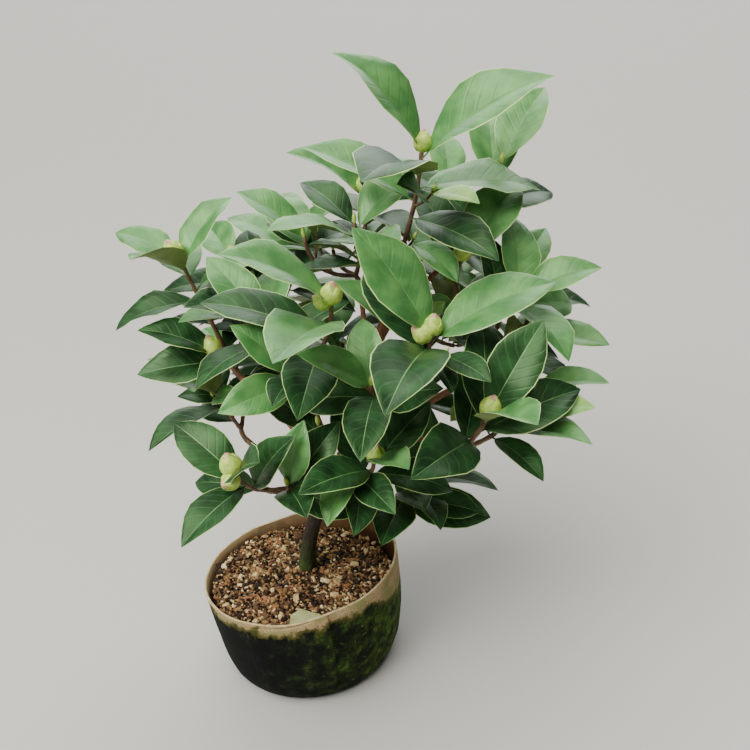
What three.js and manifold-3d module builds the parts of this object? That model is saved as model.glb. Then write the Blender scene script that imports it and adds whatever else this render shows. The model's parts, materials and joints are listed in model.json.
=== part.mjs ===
// A young camellia shrub in a soft nursery bag, in millimetres, +Z up.
// The origin is the middle of the bag's flat underside. The side that is looked at most faces -Y.
// Trunk and boughs are single tapering limbs. Each spray is one mass of twigs, leaves and flower buds.
import * as THREE from "three";
import { mergeVertices } from "three/addons/utils/BufferGeometryUtils.js";
import Module from "manifold-3d";

const wasm = await Module();
wasm.setup();

const GAP = 0.3; // between pieces that touch in the real plant
const UP = new THREE.Vector3(0, 0, 1);
const LIGHT = new THREE.Vector3(0, -0.7, 1); // leaves turn their faces up and to the bright side, -Y

// Bag: an uneven ring of soft cloth, higher on the right than on the left, longer on one diagonal, and
// sagging to the right of its rim
const BAG = {
  sides: 26,
  rimHeight: 106,
  rimSlope: 13.5,
  rimHighSide: -21,
  rimRadius: 100,
  wall: 2.2,
  floor: 3,
  squash: 0.03,
  longSide: 50,
  sag: 10,
};
const BAG_PROFILE = [
  // share of the rim's radius, share of the rim's height
  [0.76, 0],
  [0.88, 0.07],
  [0.955, 0.3],
  [0.987, 0.65],
  [1, 1],
];

// Soil: its top is level under the trunk and lies higher against the wall on the left
const SOIL = { top: 83, edgeTop: 83.5, tilt: 4, levelRadius: 36, midRadius: 66 };

// Trunk: from the flat cut on the soil to the fork
const TRUNK = {
  foot: [4, 22, SOIL.top + GAP],
  bend: [6, 19, 132],
  top: [26, 8, 182],
  sides: 10,
  steps: 8,
  footRadius: 8.6,
  topRadius: 7.6,
  flare: 1.8,
  flareShare: 0.12,
};

// Boughs: each leaves its parent at a share of the parent's length and tapers to its tip
const BOUGH = { sides: 6, steps: 4, follow: 0.42 };
const BOUGHS = [
  { name: "bough_leader", from: "trunk", at: 1, tip: [86, 24, 372], radii: [6.6, 4] },
  { name: "bough_centre", from: "trunk", at: 0.93, tip: [8, -22, 322], radii: [5, 3.6] },
  { name: "bough_left", from: "trunk", at: 0.86, tip: [-52, 16, 312], radii: [4.8, 3.2] },
  { name: "bough_centre_right", from: "trunk", at: 0.95, tip: [94, -42, 312], radii: [5, 3.4] },
  { name: "bough_right", from: "trunk", at: 0.9, tip: [168, 22, 306], radii: [4.6, 3.2] },
  { name: "bough_back_left", from: "trunk", at: 0.9, tip: [-24, 84, 330], radii: [4.6, 3.2] },
  { name: "bough_back_right", from: "trunk", at: 0.84, tip: [122, 104, 306], radii: [4.4, 3] },
  { name: "bough_front_left", from: "trunk", at: 0.72, tip: [-16, -66, 236], radii: [4.2, 2.8] },
  { name: "bough_low_front", from: "trunk", at: 0.8, tip: [54, -58, 238], radii: [4, 2.8] },
  { name: "bough_low_right", from: "trunk", at: 0.5, tip: [86, -22, 190], radii: [4, 2.8] },
  { name: "bough_low_back", from: "trunk", at: 0.64, tip: [36, 82, 226], radii: [4, 2.8] },
  { name: "bough_low_left", from: "trunk", at: 0.55, tip: [-52, 46, 222], radii: [3.8, 2.7] },
  { name: "bough_upper_right", from: "bough_leader", at: 0.55, tip: [142, 12, 372], radii: [3.6, 2.8] },
  { name: "bough_top_right", from: "bough_leader", at: 0.8, tip: [150, 66, 412], radii: [3.4, 2.7] },
  { name: "bough_back", from: "bough_leader", at: 0.5, tip: [62, 98, 372], radii: [3.5, 2.8] },
  { name: "bough_front_right", from: "bough_centre_right", at: 0.6, tip: [142, -78, 284], radii: [3.3, 2.7] },
];

// Shoots: the tips that each spray carries. first is the way its first leaf points, in degrees from +X,
// and turn the way its spiral of leaves winds. length is that of its longest leaf, and buds counts the
// flower buds at the tip. erect raises its leaves, and fallen is the number of a leaf it has lost.
const SPRAYS = [
  {
    name: "spray_centre_right",
    bough: "bough_centre_right",
    shoots: [
      { tip: [125, -62, 388], first: 156, turn: -1, leaves: 4, length: 130, buds: 2, erect: -6 },
      { tip: [74, -74, 346], first: 205, turn: -1, leaves: 5, length: 84, buds: 0 },
      { tip: [112, 0, 372], first: 250, turn: 1, leaves: 5, length: 92, buds: 0 },
    ],
  },
  {
    name: "spray_centre",
    bough: "bough_centre",
    shoots: [
      { tip: [40, -54, 414], first: 202, turn: 1, leaves: 7, length: 130, buds: 2, erect: 4, fallen: 2 },
      { tip: [-22, -24, 386], first: 180, turn: 1, leaves: 6, length: 90, buds: 1 },
      { tip: [8, -64, 352], first: 160, turn: 1, leaves: 5, length: 84, buds: 0 },
    ],
  },
  {
    name: "spray_front_right",
    bough: "bough_front_right",
    shoots: [
      { tip: [170, -98, 330], first: 62, turn: -1, leaves: 7, length: 108, buds: 1, erect: 14 },
      { tip: [196, -52, 306], first: 330, turn: -1, leaves: 5, length: 90, buds: 0 },
    ],
  },
  {
    name: "spray_top",
    bough: "bough_leader",
    shoots: [
      { tip: [117, 20, 524], first: 199, turn: 1, leaves: 7, length: 134, buds: 1, erect: 7, fallen: 2 },
      { tip: [58, 52, 452], first: 140, turn: -1, leaves: 6, length: 96, buds: 0 },
    ],
  },
  {
    name: "spray_upper_right",
    bough: "bough_upper_right",
    shoots: [
      { tip: [152, 8, 432], first: 30, turn: 1, leaves: 7, length: 112, buds: 1 },
      { tip: [206, -6, 404], first: 350, turn: 1, leaves: 5, length: 88, buds: 0 },
    ],
  },
  {
    name: "spray_top_right",
    bough: "bough_top_right",
    shoots: [
      { tip: [192, 66, 504], first: 48, turn: 1, leaves: 7, length: 108, buds: 0, erect: 12 },
      { tip: [150, 118, 470], first: 95, turn: -1, leaves: 6, length: 98, buds: 1 },
    ],
  },
  {
    name: "spray_front_left",
    bough: "bough_front_left",
    shoots: [
      { tip: [-42, -104, 278], first: 195, turn: 1, leaves: 6, length: 84, buds: 2, erect: 12 },
      { tip: [2, -98, 262], first: 32, turn: -1, leaves: 4, length: 80, buds: 0, erect: 16 },
    ],
  },
  {
    name: "spray_left",
    bough: "bough_left",
    shoots: [
      { tip: [-104, 36, 424], first: 160, turn: -1, leaves: 7, length: 94, buds: 1 },
      { tip: [-70, 0, 344], first: 165, turn: 1, leaves: 6, length: 86, buds: 1 },
      { tip: [-36, 40, 400], first: 80, turn: 1, leaves: 5, length: 92, buds: 0 },
    ],
  },
  {
    name: "spray_right",
    bough: "bough_right",
    shoots: [
      { tip: [222, 30, 366], first: 15, turn: 1, leaves: 7, length: 88, buds: 1 },
      { tip: [214, 84, 384], first: 60, turn: -1, leaves: 6, length: 92, buds: 0 },
      { tip: [222, -22, 322], first: 330, turn: 1, leaves: 5, length: 84, buds: 0 },
    ],
  },
  {
    name: "spray_low_front",
    bough: "bough_low_front",
    shoots: [
      { tip: [76, -96, 286], first: 300, turn: 1, leaves: 6, length: 82, buds: 1 },
      { tip: [28, -70, 306], first: 205, turn: 1, leaves: 6, length: 80, buds: 0 },
    ],
  },
  {
    name: "spray_low_right",
    bough: "bough_low_right",
    shoots: [
      { tip: [106, -48, 226], first: 290, turn: 1, leaves: 6, length: 88, buds: 0 },
      { tip: [126, 4, 224], first: 350, turn: -1, leaves: 6, length: 84, buds: 0 },
    ],
  },
  {
    name: "spray_back",
    bough: "bough_back",
    shoots: [
      { tip: [68, 136, 462], first: 80, turn: 1, leaves: 7, length: 102, buds: 1 },
      { tip: [10, 62, 436], first: 190, turn: 1, leaves: 6, length: 92, buds: 0 },
      { tip: [34, 126, 404], first: 100, turn: -1, leaves: 6, length: 88, buds: 0 },
    ],
  },
  {
    name: "spray_back_left",
    bough: "bough_back_left",
    shoots: [
      { tip: [-64, 106, 398], first: 140, turn: 1, leaves: 7, length: 98, buds: 1 },
      { tip: [-6, 128, 420], first: 95, turn: -1, leaves: 7, length: 100, buds: 2 },
      { tip: [-36, 138, 350], first: 130, turn: 1, leaves: 6, length: 90, buds: 0 },
    ],
  },
  {
    name: "spray_back_right",
    bough: "bough_back_right",
    shoots: [
      { tip: [158, 150, 362], first: 60, turn: 1, leaves: 7, length: 100, buds: 2 },
      { tip: [96, 156, 350], first: 110, turn: -1, leaves: 7, length: 96, buds: 1 },
      { tip: [122, 142, 418], first: 70, turn: -1, leaves: 6, length: 90, buds: 0 },
      { tip: [178, 112, 316], first: 30, turn: 1, leaves: 6, length: 86, buds: 0 },
    ],
  },
  {
    name: "spray_low_back",
    bough: "bough_low_back",
    shoots: [
      { tip: [68, 122, 272], first: 75, turn: 1, leaves: 6, length: 92, buds: 0 },
      { tip: [4, 126, 280], first: 120, turn: -1, leaves: 6, length: 90, buds: 1 },
      { tip: [124, 96, 262], first: 40, turn: -1, leaves: 6, length: 86, buds: 0 },
      { tip: [40, 150, 306], first: 85, turn: 1, leaves: 6, length: 84, buds: 0 },
    ],
  },
  {
    name: "spray_low_left",
    bough: "bough_low_left",
    shoots: [
      { tip: [-88, 56, 280], first: 170, turn: 1, leaves: 6, length: 92, buds: 1 },
      { tip: [-72, 100, 290], first: 130, turn: -1, leaves: 5, length: 86, buds: 0 },
    ],
  },
];

// Twigs: a short stem runs on from the bough's tip and splits towards the shoots
const TWIG = { sides: 3, steps: 3, stemShare: 0.3, stemRadius: 2.9, tipRadius: 1.9, rise: 0.5 };

// Crown: how far a shoot leans outwards for its place in it
const CROWN = { middle: [84, 10], radius: 170, low: 230, high: 520, lowLean: 0.5, highLean: 0.3 };

// Leaves along a shoot, counted from its tip, and one leaf's form as shares of its length
const SPIRAL = { step: 137.5, firstDrop: 3, drop: 5.5, dropGrowth: 1.22 };
const RISE = { tip: 56, fall: 9, jitter: 8, least: 0.08 };
const SIZE_BY_AGE = [0.86, 0.97, 1, 0.98, 0.94, 0.88, 0.8];
const LEAF = { width: 0.47, arch: 34, fold: 11, rootHalf: 0.9, sunk: 0.008 };
const LEAF_STATIONS = [
  // share of the length, thickness along the midrib
  [0, 1.7],
  [0.32, 1.9],
  [0.72, 1.4],
];

// Free room that a leaf keeps, and the turns it tries before it is left out
const ROOM = { leaf: 5, limb: 3.6, bud: 2.5, from: 0.28, along: 15, across: 8 };
const TURNS = [0, 14, -14, 28, -28, 42, -42];
const SHRINKS = [1, 0.86, 0.72];

// Flower buds: plump, pointed, on a short foot
const BUD = { sides: 5, radius: 8.6, length: 22, sunk: 2.5, tilt: 62, jitter: 0.12 };
const BUD_PROFILE = [
  // share of the radius, share of the length
  [0.42, 0.06],
  [1, 0.4],
  [0.72, 0.74],
];

const COLOURS = {
  bag: { color: 0x2f3a24, roughness: 0.9, metalness: 0 },
  soil: { color: 0x5c432c, roughness: 1, metalness: 0 },
  bark: { color: 0x54402f, roughness: 0.85, metalness: 0 },
  foliage: { color: 0x2c5a33, roughness: 0.4, metalness: 0 },
};

const radians = THREE.MathUtils.degToRad;
const vector = (place) => new THREE.Vector3(...place);

/** A number from 0 to 1 that depends only on the two whole numbers. */
function chance(shoot, draw) {
  const wave = Math.sin(shoot * 12.9898 + draw * 78.233) * 43758.5453;
  return wave - Math.floor(wave);
}

/** A number from -1 to 1 in the same way. */
const sway = (shoot, draw) => 2 * chance(shoot, draw) - 1;

/** Joins rings of points, each with the same count, into one closed solid between two end points. */
function loft(rings, start, end) {
  const count = rings[0].length;
  const points = [...rings.flat(), start, end];
  const first = points.length - 2;
  const last = points.length - 1;
  const faces = [];
  rings.slice(1).forEach((_, k) => {
    for (let i = 0; i < count; i++) {
      const low = k * count;
      const j = (i + 1) % count;
      faces.push(low + i, low + j, low + count + j, low + i, low + count + j, low + count + i);
    }
  });
  const top = (rings.length - 1) * count;
  for (let i = 0; i < count; i++) {
    const j = (i + 1) % count;
    faces.push(first, j, i, last, top + i, top + j);
  }
  const places = new Float32Array(points.flatMap((p) => [p.x, p.y, p.z]));
  const mesh = new wasm.Mesh({ numProp: 3, vertProperties: places, triVerts: new Uint32Array(faces) });
  return new wasm.Manifold(mesh);
}

/** Two directions across a third, the first as near +X as it can be. */
function across(along) {
  const u = new THREE.Vector3(1, 0, 0).addScaledVector(along, -along.x).normalize();
  const v = new THREE.Vector3().crossVectors(along, u);
  return [u, v];
}

/** One ring of points round a place on a limb. */
function ringAt(centre, along, radius, sides) {
  const [u, v] = across(along);
  return Array.from({ length: sides }, (_, i) => {
    const turn = (2 * Math.PI * i) / sides;
    return centre
      .clone()
      .addScaledVector(u, radius * Math.cos(turn))
      .addScaledVector(v, radius * Math.sin(turn));
  });
}

/** A limb as a solid, made thicker and longer by grow. */
function limbSolid(limb, grow = 0) {
  const rings = [];
  const centres = [];
  for (let k = 0; k <= limb.steps; k++) {
    const t = k / limb.steps;
    const centre = limb.curve.getPoint(t);
    const along = limb.curve.getTangent(t);
    if (k === 0) centre.addScaledVector(along, limb.start - grow);
    if (k === limb.steps) centre.addScaledVector(along, grow);
    if (k === 0 && limb.flatFoot) along.copy(UP);
    centres.push(centre);
    rings.push(ringAt(centre, along, limb.radius(t) + grow, limb.sides));
  }
  return loft(rings, centres[0], centres[limb.steps]);
}

/** The part of a solid that holds together and is largest. */
function largest(solid) {
  return solid.decompose().reduce((a, b) => (b.volume() > a.volume() ? b : a));
}

/** The trunk's radius at a share of its length, with the root flare at its foot. */
function trunkRadius(t) {
  const flare = TRUNK.flare * Math.exp(-t / TRUNK.flareShare);
  return TRUNK.footRadius + (TRUNK.topRadius - TRUNK.footRadius) * t + flare;
}

/** The trunk and boughs, each with the curve along its middle and its radius. */
function growLimbs() {
  const limbs = new Map();
  limbs.set("trunk", {
    curve: new THREE.QuadraticBezierCurve3(vector(TRUNK.foot), vector(TRUNK.bend), vector(TRUNK.top)),
    radius: trunkRadius,
    sides: TRUNK.sides,
    steps: TRUNK.steps,
    start: 0,
    flatFoot: true,
  });
  for (const { name, from, at, tip, radii } of BOUGHS) {
    const parent = limbs.get(from);
    const foot = parent.curve.getPoint(at);
    const end = vector(tip);
    const reach = foot.distanceTo(end) * BOUGH.follow;
    const bend = foot.clone().addScaledVector(parent.curve.getTangent(at), reach);
    limbs.set(name, {
      curve: new THREE.QuadraticBezierCurve3(foot, bend, end),
      radius: (t) => radii[0] + (radii[1] - radii[0]) * t,
      sides: BOUGH.sides,
      steps: BOUGH.steps,
      start: at === 1 ? GAP : 0,
    });
  }
  return limbs;
}

/** The solids of the limbs, each cut clear of those before it. */
function limbSolids(limbs) {
  const solids = new Map();
  const grown = [];
  for (const [name, limb] of limbs) {
    let solid = limbSolid(limb);
    for (const other of grown) solid = solid.subtract(other);
    solids.set(name, largest(solid));
    grown.push(limbSolid(limb, GAP));
  }
  return solids;
}

/** The way a shoot points, which is up and outwards, more so low down and far out. */
function shootWay(tip) {
  const out = new THREE.Vector3(tip.x - CROWN.middle[0], tip.y - CROWN.middle[1], 0);
  out.divideScalar(CROWN.radius);
  const height = (tip.z - CROWN.low) / (CROWN.high - CROWN.low);
  const lean = THREE.MathUtils.lerp(CROWN.lowLean, CROWN.highLean, THREE.MathUtils.clamp(height, 0, 1));
  return out.multiplyScalar(lean).add(UP).normalize();
}

/** The stem and twigs of a spray, from its bough's tip to the tips of its shoots. */
function growTwigs(spray, limbs) {
  const bough = limbs.get(spray.bough);
  const way = bough.curve.getTangent(1);
  const foot = bough.curve.getPoint(1).addScaledVector(way, GAP);
  const tips = spray.shoots.map((shoot) => vector(shoot.tip));
  const middle = tips.reduce((sum, tip) => sum.add(tip), new THREE.Vector3()).divideScalar(tips.length);
  const reach = foot.distanceTo(middle) * TWIG.stemShare;
  const straight = foot.clone().addScaledVector(way, reach * 0.6);
  const fork = straight.lerp(foot.clone().lerp(middle, TWIG.stemShare), 0.5);
  const twig = (from, bend, to, thick, thin) => ({
    curve: new THREE.QuadraticBezierCurve3(from, bend, to),
    radius: (t) => thick + (thin - thick) * t,
    sides: TWIG.sides,
    steps: TWIG.steps,
    start: 0,
  });
  const forkRadius = (TWIG.stemRadius + TWIG.tipRadius) / 2;
  const stemBend = foot.clone().addScaledVector(way, reach / 2);
  const stem = twig(foot, stemBend, fork, TWIG.stemRadius, forkRadius);
  const shoots = tips.map((tip) => {
    const pull = fork.distanceTo(tip) * TWIG.rise;
    const bend = tip.clone().addScaledVector(shootWay(tip), -pull);
    return twig(fork, bend, tip, forkRadius, TWIG.tipRadius);
  });
  return { stem, shoots };
}

/** Flower buds at a shoot's tip: the first stands upright, the second leans out beside it. */
function growBuds(shoot, twig, number) {
  const tip = twig.curve.getPoint(1);
  const way = twig.curve.getTangent(1);
  const [u, v] = across(way);
  return Array.from({ length: shoot.buds }, (_, k) => {
    const turn = radians(shoot.first + 70 + 360 * chance(number, 90 + k));
    const side = u.clone().multiplyScalar(Math.cos(turn)).addScaledVector(v, Math.sin(turn));
    const tilt = radians(k === 0 ? BUD.tilt * 0.2 : BUD.tilt);
    const along = way.clone().multiplyScalar(Math.cos(tilt)).addScaledVector(side, Math.sin(tilt));
    const size = 1 + BUD.jitter * sway(number, 80 + k) - 0.1 * k;
    const foot = tip.clone().addScaledVector(way, -BUD.sunk * (1 + k));
    return { foot, along, radius: BUD.radius * size, length: BUD.length * size };
  });
}

/** One bud as a solid. */
function budSolid(bud) {
  const at = (share) => bud.foot.clone().addScaledVector(bud.along, bud.length * share);
  const ring = ([wide, high]) => ringAt(at(high), bud.along, bud.radius * wide, BUD.sides);
  const rings = BUD_PROFILE.map(ring);
  return loft(rings, at(0), at(1));
}

/** Half of a leaf's width at a share of its length. */
function halfWidth(leaf, s) {
  if (s <= 0) return LEAF.rootHalf;
  const outline = Math.pow(Math.max(0, Math.sin(Math.PI * Math.pow(s, 0.92))), 0.85);
  return Math.max((leaf.length * LEAF.width * outline) / 2, (1 - s) * LEAF.rootHalf);
}

/** A place on a leaf: s along it, c across it from -1 to 1, and lift above it. */
function leafPoint(leaf, s, c, lift = 0) {
  const turn = leaf.arch * s;
  const normal = leaf.normal.clone().multiplyScalar(Math.cos(turn));
  normal.addScaledVector(leaf.way, Math.sin(turn));
  const wide = c * halfWidth(leaf, s);
  return leaf.foot
    .clone()
    .addScaledVector(leaf.way, (leaf.length * Math.sin(turn)) / leaf.arch)
    .addScaledVector(leaf.normal, (-leaf.length * (1 - Math.cos(turn))) / leaf.arch)
    .addScaledVector(leaf.side, wide * Math.cos(leaf.fold))
    .addScaledVector(normal, Math.abs(wide) * Math.sin(leaf.fold) + lift);
}

/** One leaf as a solid: a folded blade that is thickest along its midrib. */
function leafSolid(leaf) {
  const rings = LEAF_STATIONS.map(([s, thick]) => [
    leafPoint(leaf, s, -1),
    leafPoint(leaf, s, 0, thick / 2),
    leafPoint(leaf, s, 1),
    leafPoint(leaf, s, 0, -thick / 2),
  ]);
  return loft(rings, leafPoint(leaf, -LEAF.sunk, 0), leafPoint(leaf, 1, 0));
}

/** Places all over a leaf, from a share of its length to its tip. */
function leafPlaces(leaf, from) {
  const places = [];
  for (let i = 0; i < ROOM.along; i++) {
    const s = from + ((1 - from) * i) / (ROOM.along - 1);
    for (let j = 0; j < ROOM.across; j++) {
      places.push(leafPoint(leaf, s, -1 + (2 * j) / (ROOM.across - 1)));
    }
  }
  return places;
}

/** A leaf of a shoot by its number from the tip, turned and shrunk as asked. */
function shapeLeaf({ shoot, twig, number, spray }, k, turn, shrink) {
  const twigLength = twig.curve.getLength();
  let drop = SPIRAL.firstDrop;
  for (let i = 0; i < k; i++) drop += SPIRAL.drop * Math.pow(SPIRAL.dropGrowth, i);
  const t = 1 - drop / twigLength;
  if (t < 0.05) return null;
  const along = twig.curve.getTangent(t);
  const [u, v] = across(along);
  const heading = radians(shoot.first + shoot.turn * SPIRAL.step * k + 8 * sway(number, 3 * k) + turn);
  const upright = RISE.tip + (shoot.erect ?? 0) - RISE.fall * k;
  const rise = radians(upright + RISE.jitter * sway(number, 3 * k + 1));
  const out = u.clone().multiplyScalar(Math.cos(heading)).addScaledVector(v, Math.sin(heading));
  const way = out.multiplyScalar(Math.cos(rise)).addScaledVector(along, Math.sin(rise));
  way.z = Math.max(way.z, RISE.least);
  way.normalize();
  const light = along.clone().add(LIGHT).normalize();
  const normal = light.addScaledVector(way, -light.dot(way)).normalize();
  const side = new THREE.Vector3().crossVectors(way, normal);
  const roll = radians(12 * sway(number, 3 * k + 2));
  const leaf = {
    spray,
    foot: twig.curve.getPoint(t),
    way,
    normal: normal.clone().multiplyScalar(Math.cos(roll)).addScaledVector(side, Math.sin(roll)),
    length: shoot.length * SIZE_BY_AGE[k] * shrink * (1 + 0.06 * sway(number, 40 + k)),
    arch: radians(LEAF.arch * (1 + 0.35 * sway(number, 50 + k))),
    fold: radians(LEAF.fold * (1 + 0.4 * sway(number, 60 + k))),
  };
  leaf.side = new THREE.Vector3().crossVectors(leaf.way, leaf.normal);
  leaf.middle = leafPoint(leaf, 0.6, 0);
  leaf.whole = leafPlaces(leaf, 0);
  leaf.blade = leafPlaces(leaf, ROOM.from);
  return leaf;
}

/** Whether two lists of places come nearer to each other than room. */
function near(some, others, room) {
  const least = room * room;
  return some.some((a) => others.some((b) => a.distanceToSquared(b) < least));
}

/** Whether a leaf keeps its room from the leaves, limbs and buds that are already there. */
function isFree(leaf, leaves, posts) {
  const reach = leaf.length * 0.75;
  for (const post of posts) {
    const room = post.radius + post.room;
    const places = post.spray === leaf.spray ? leaf.blade : leaf.whole;
    const apart = post.centre.distanceTo(leaf.middle);
    if (apart < reach + room && near(places, [post.centre], room)) return false;
  }
  if (leaf.whole.some((place) => place.z < BAG.rimHeight + BAG.rimSlope + ROOM.leaf)) return false;
  return !leaves.some((other) => {
    const part = other.spray === leaf.spray ? "blade" : "whole";
    const apart = other.middle.distanceTo(leaf.middle);
    return apart < reach + other.length * 0.75 && near(leaf[part], other[part], ROOM.leaf);
  });
}

/** Places along a limb, close together, that a leaf keeps clear of. */
function postsAlong(limb, spray) {
  const count = Math.ceil(limb.curve.getLength() / 4);
  return Array.from({ length: count + 1 }, (_, i) => ({
    centre: limb.curve.getPoint(i / count),
    radius: limb.radius(i / count),
    room: ROOM.limb,
    spray,
  }));
}

/** The leaves of every shoot: each takes the first turn that leaves it room, or is left out. */
function growLeaves(plants, posts) {
  const leaves = [];
  const tries = SHRINKS.flatMap((shrink) => TURNS.map((turn) => [turn, shrink]));
  for (const plant of plants) {
    for (let k = 0; k < plant.shoot.leaves; k++) {
      if (k === plant.shoot.fallen) continue;
      for (const [turn, shrink] of tries) {
        const leaf = shapeLeaf(plant, k, turn, shrink);
        if (leaf && isFree(leaf, leaves, posts)) {
          leaves.push(leaf);
          plant.leaves.push(leaf);
          break;
        }
      }
    }
  }
}

/** The sprays as solids, each one stem, its twigs, their leaves and buds fused together. */
function spraySolids(limbs) {
  const posts = [...limbs.values()].flatMap((limb) => postsAlong(limb, "limbs"));
  const plants = [];
  const sprays = SPRAYS.map((spray) => {
    const { stem, shoots } = growTwigs(spray, limbs);
    posts.push(...[stem, ...shoots].flatMap((twig) => postsAlong(twig, spray.name)));
    const grown = shoots.map((twig, i) => {
      const number = plants.length + 1;
      const buds = growBuds(spray.shoots[i], twig, number);
      for (const bud of buds) {
        const centre = bud.foot.clone().addScaledVector(bud.along, bud.length / 2);
        posts.push({ centre, radius: bud.length / 2, room: ROOM.bud, spray: spray.name });
      }
      const plant = { spray: spray.name, shoot: spray.shoots[i], twig, number, buds, leaves: [] };
      plants.push(plant);
      return plant;
    });
    return { name: spray.name, stem, grown };
  });
  growLeaves(plants, posts);
  return new Map(
    sprays.map(({ name, stem, grown }) => {
      const pieces = grown.flatMap(({ twig, buds, leaves }) => [
        limbSolid(twig),
        ...buds.map(budSolid),
        ...leaves.map(leafSolid),
      ]);
      return [name, largest(wasm.Manifold.union([limbSolid(stem), ...pieces]))];
    }),
  );
}

/** How far the bag's plan departs from round, as a share of its radius. */
const bagPlan = (turn) => 1 + BAG.squash * Math.cos(2 * (turn - radians(BAG.longSide)));

/** The height of the bag's rim at a turn round it. */
const bagRim = (turn) => BAG.rimHeight + BAG.rimSlope * Math.cos(turn - radians(BAG.rimHighSide));

/** A ring of points round the bag, at a radius, a share of the rim's height and a height by turn. */
function bagRing(radius, share, height) {
  const sag = BAG.sag * (1 - share * share);
  return Array.from({ length: BAG.sides }, (_, i) => {
    const turn = (2 * Math.PI * i) / BAG.sides;
    const out = radius * bagPlan(turn);
    return new THREE.Vector3(sag + out * Math.cos(turn), out * Math.sin(turn), height(turn));
  });
}

/** The bag's outer radius at a share of its height. */
function bagRadius(share) {
  const k = Math.max(1, BAG_PROFILE.findIndex(([, high]) => high >= share));
  const [[wideLow, low], [wideHigh, high]] = [BAG_PROFILE[k - 1], BAG_PROFILE[k]];
  return BAG.rimRadius * THREE.MathUtils.mapLinear(share, low, high, wideLow, wideHigh);
}

/** The bag: an open wall on a flat floor. */
function bagSolid() {
  const outside = BAG_PROFILE.map(([wide, high]) =>
    bagRing(BAG.rimRadius * wide, high, (turn) => high * bagRim(turn)),
  );
  const inside = BAG_PROFILE.map(([wide, high]) => {
    const floor = high === 1 ? 0 : BAG.floor;
    return bagRing(BAG.rimRadius * wide - BAG.wall, high, (turn) => floor + high * bagRim(turn));
  }).reverse();
  return loft([...outside, ...inside], new THREE.Vector3(), new THREE.Vector3(0, 0, BAG.floor));
}

/** The height of the soil's top where it is a share of the way from its level part to the wall. */
function soilTop(share, turn) {
  const edge = SOIL.edgeTop - SOIL.tilt * Math.cos(turn) + 0.6 * Math.sin(3 * turn);
  return THREE.MathUtils.lerp(SOIL.top, edge, share);
}

/** The soil: it fills the bag up to its top, clear of the cloth by the gap. */
function soilSolid() {
  const inset = BAG.wall + 2 * GAP;
  const shares = BAG_PROFILE.map(([, high]) => high).filter((high) => high < 0.6);
  const wall = shares.map((high) =>
    bagRing(bagRadius(high) - inset, high, (turn) => BAG.floor + GAP + high * bagRim(turn)),
  );
  const topShare = SOIL.top / BAG.rimHeight;
  const edge = bagRing(bagRadius(0.65) - inset - 1.2, topShare, (turn) => soilTop(1, turn));
  const middle = bagRing(SOIL.midRadius, topShare, (turn) => soilTop(0.4, turn));
  const level = bagRing(SOIL.levelRadius, topShare, () => SOIL.top);
  const bottom = new THREE.Vector3(0, 0, BAG.floor + GAP);
  return loft([...wall, edge, middle, level], bottom, new THREE.Vector3(0, 0, SOIL.top));
}

/** A named mesh of a solid in one of the colours. */
function piece(name, solid, colour) {
  const { numProp, vertProperties, triVerts } = solid.getMesh();
  const geometry = new THREE.BufferGeometry();
  const places = Array.from({ length: vertProperties.length / numProp }, (_, i) =>
    Array.from(vertProperties.subarray(i * numProp, i * numProp + 3)),
  );
  geometry.setAttribute("position", new THREE.Float32BufferAttribute(places.flat(), 3));
  geometry.setIndex(Array.from(triVerts));
  const mesh = new THREE.Mesh(mergeVertices(geometry), new THREE.MeshStandardMaterial(COLOURS[colour]));
  mesh.name = name;
  return mesh;
}

const shrub = new THREE.Group();
shrub.name = "camellia";
shrub.add(piece("pot", bagSolid(), "bag"));
shrub.add(piece("soil", soilSolid(), "soil"));
const limbs = growLimbs();
for (const [name, solid] of limbSolids(limbs)) shrub.add(piece(name, solid, "bark"));
for (const [name, solid] of spraySolids(limbs)) shrub.add(piece(name, solid, "foliage"));

export default shrub;
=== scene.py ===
"""A young camellia in a soft nursery bag, dressed over its solid model.

The crown grows by the same rule as the solids and goes on to finer twigs and leaves. Growth is worked
out in millimetres and turned to metres where a mesh is made. The origin is on the bag's flat underside,
under the middle of its rim. +Z is up, and the side that is looked at most faces -Y.
"""

import json
import logging
import math
from collections.abc import Callable, Iterable, Sequence
from dataclasses import dataclass, field
from enum import IntEnum
from functools import cached_property

import bpy
import numpy as np
from mathutils import Euler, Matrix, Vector, noise

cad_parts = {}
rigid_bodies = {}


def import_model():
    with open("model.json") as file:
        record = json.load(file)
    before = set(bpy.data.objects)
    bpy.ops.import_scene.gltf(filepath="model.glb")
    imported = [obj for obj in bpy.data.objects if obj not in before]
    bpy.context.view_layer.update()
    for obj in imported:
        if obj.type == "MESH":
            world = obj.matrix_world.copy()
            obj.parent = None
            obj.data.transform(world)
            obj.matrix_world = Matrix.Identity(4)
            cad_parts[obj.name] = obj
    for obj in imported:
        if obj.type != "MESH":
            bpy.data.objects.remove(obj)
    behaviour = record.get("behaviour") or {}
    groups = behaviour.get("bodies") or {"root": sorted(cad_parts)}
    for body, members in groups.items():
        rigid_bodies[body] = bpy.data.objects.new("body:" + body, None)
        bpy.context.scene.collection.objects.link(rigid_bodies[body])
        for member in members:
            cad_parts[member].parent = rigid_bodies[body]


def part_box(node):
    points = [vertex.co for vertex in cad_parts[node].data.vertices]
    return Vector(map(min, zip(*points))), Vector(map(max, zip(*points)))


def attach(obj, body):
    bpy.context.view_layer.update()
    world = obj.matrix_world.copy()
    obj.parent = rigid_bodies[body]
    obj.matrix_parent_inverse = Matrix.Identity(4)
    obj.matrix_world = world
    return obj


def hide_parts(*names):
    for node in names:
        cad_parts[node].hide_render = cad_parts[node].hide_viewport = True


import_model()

Array = np.ndarray
Piece = bpy.types.Object
Socket = bpy.types.NodeSocket
Place = tuple[float, float, float]
Faces = list[tuple[int, ...]]

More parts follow.
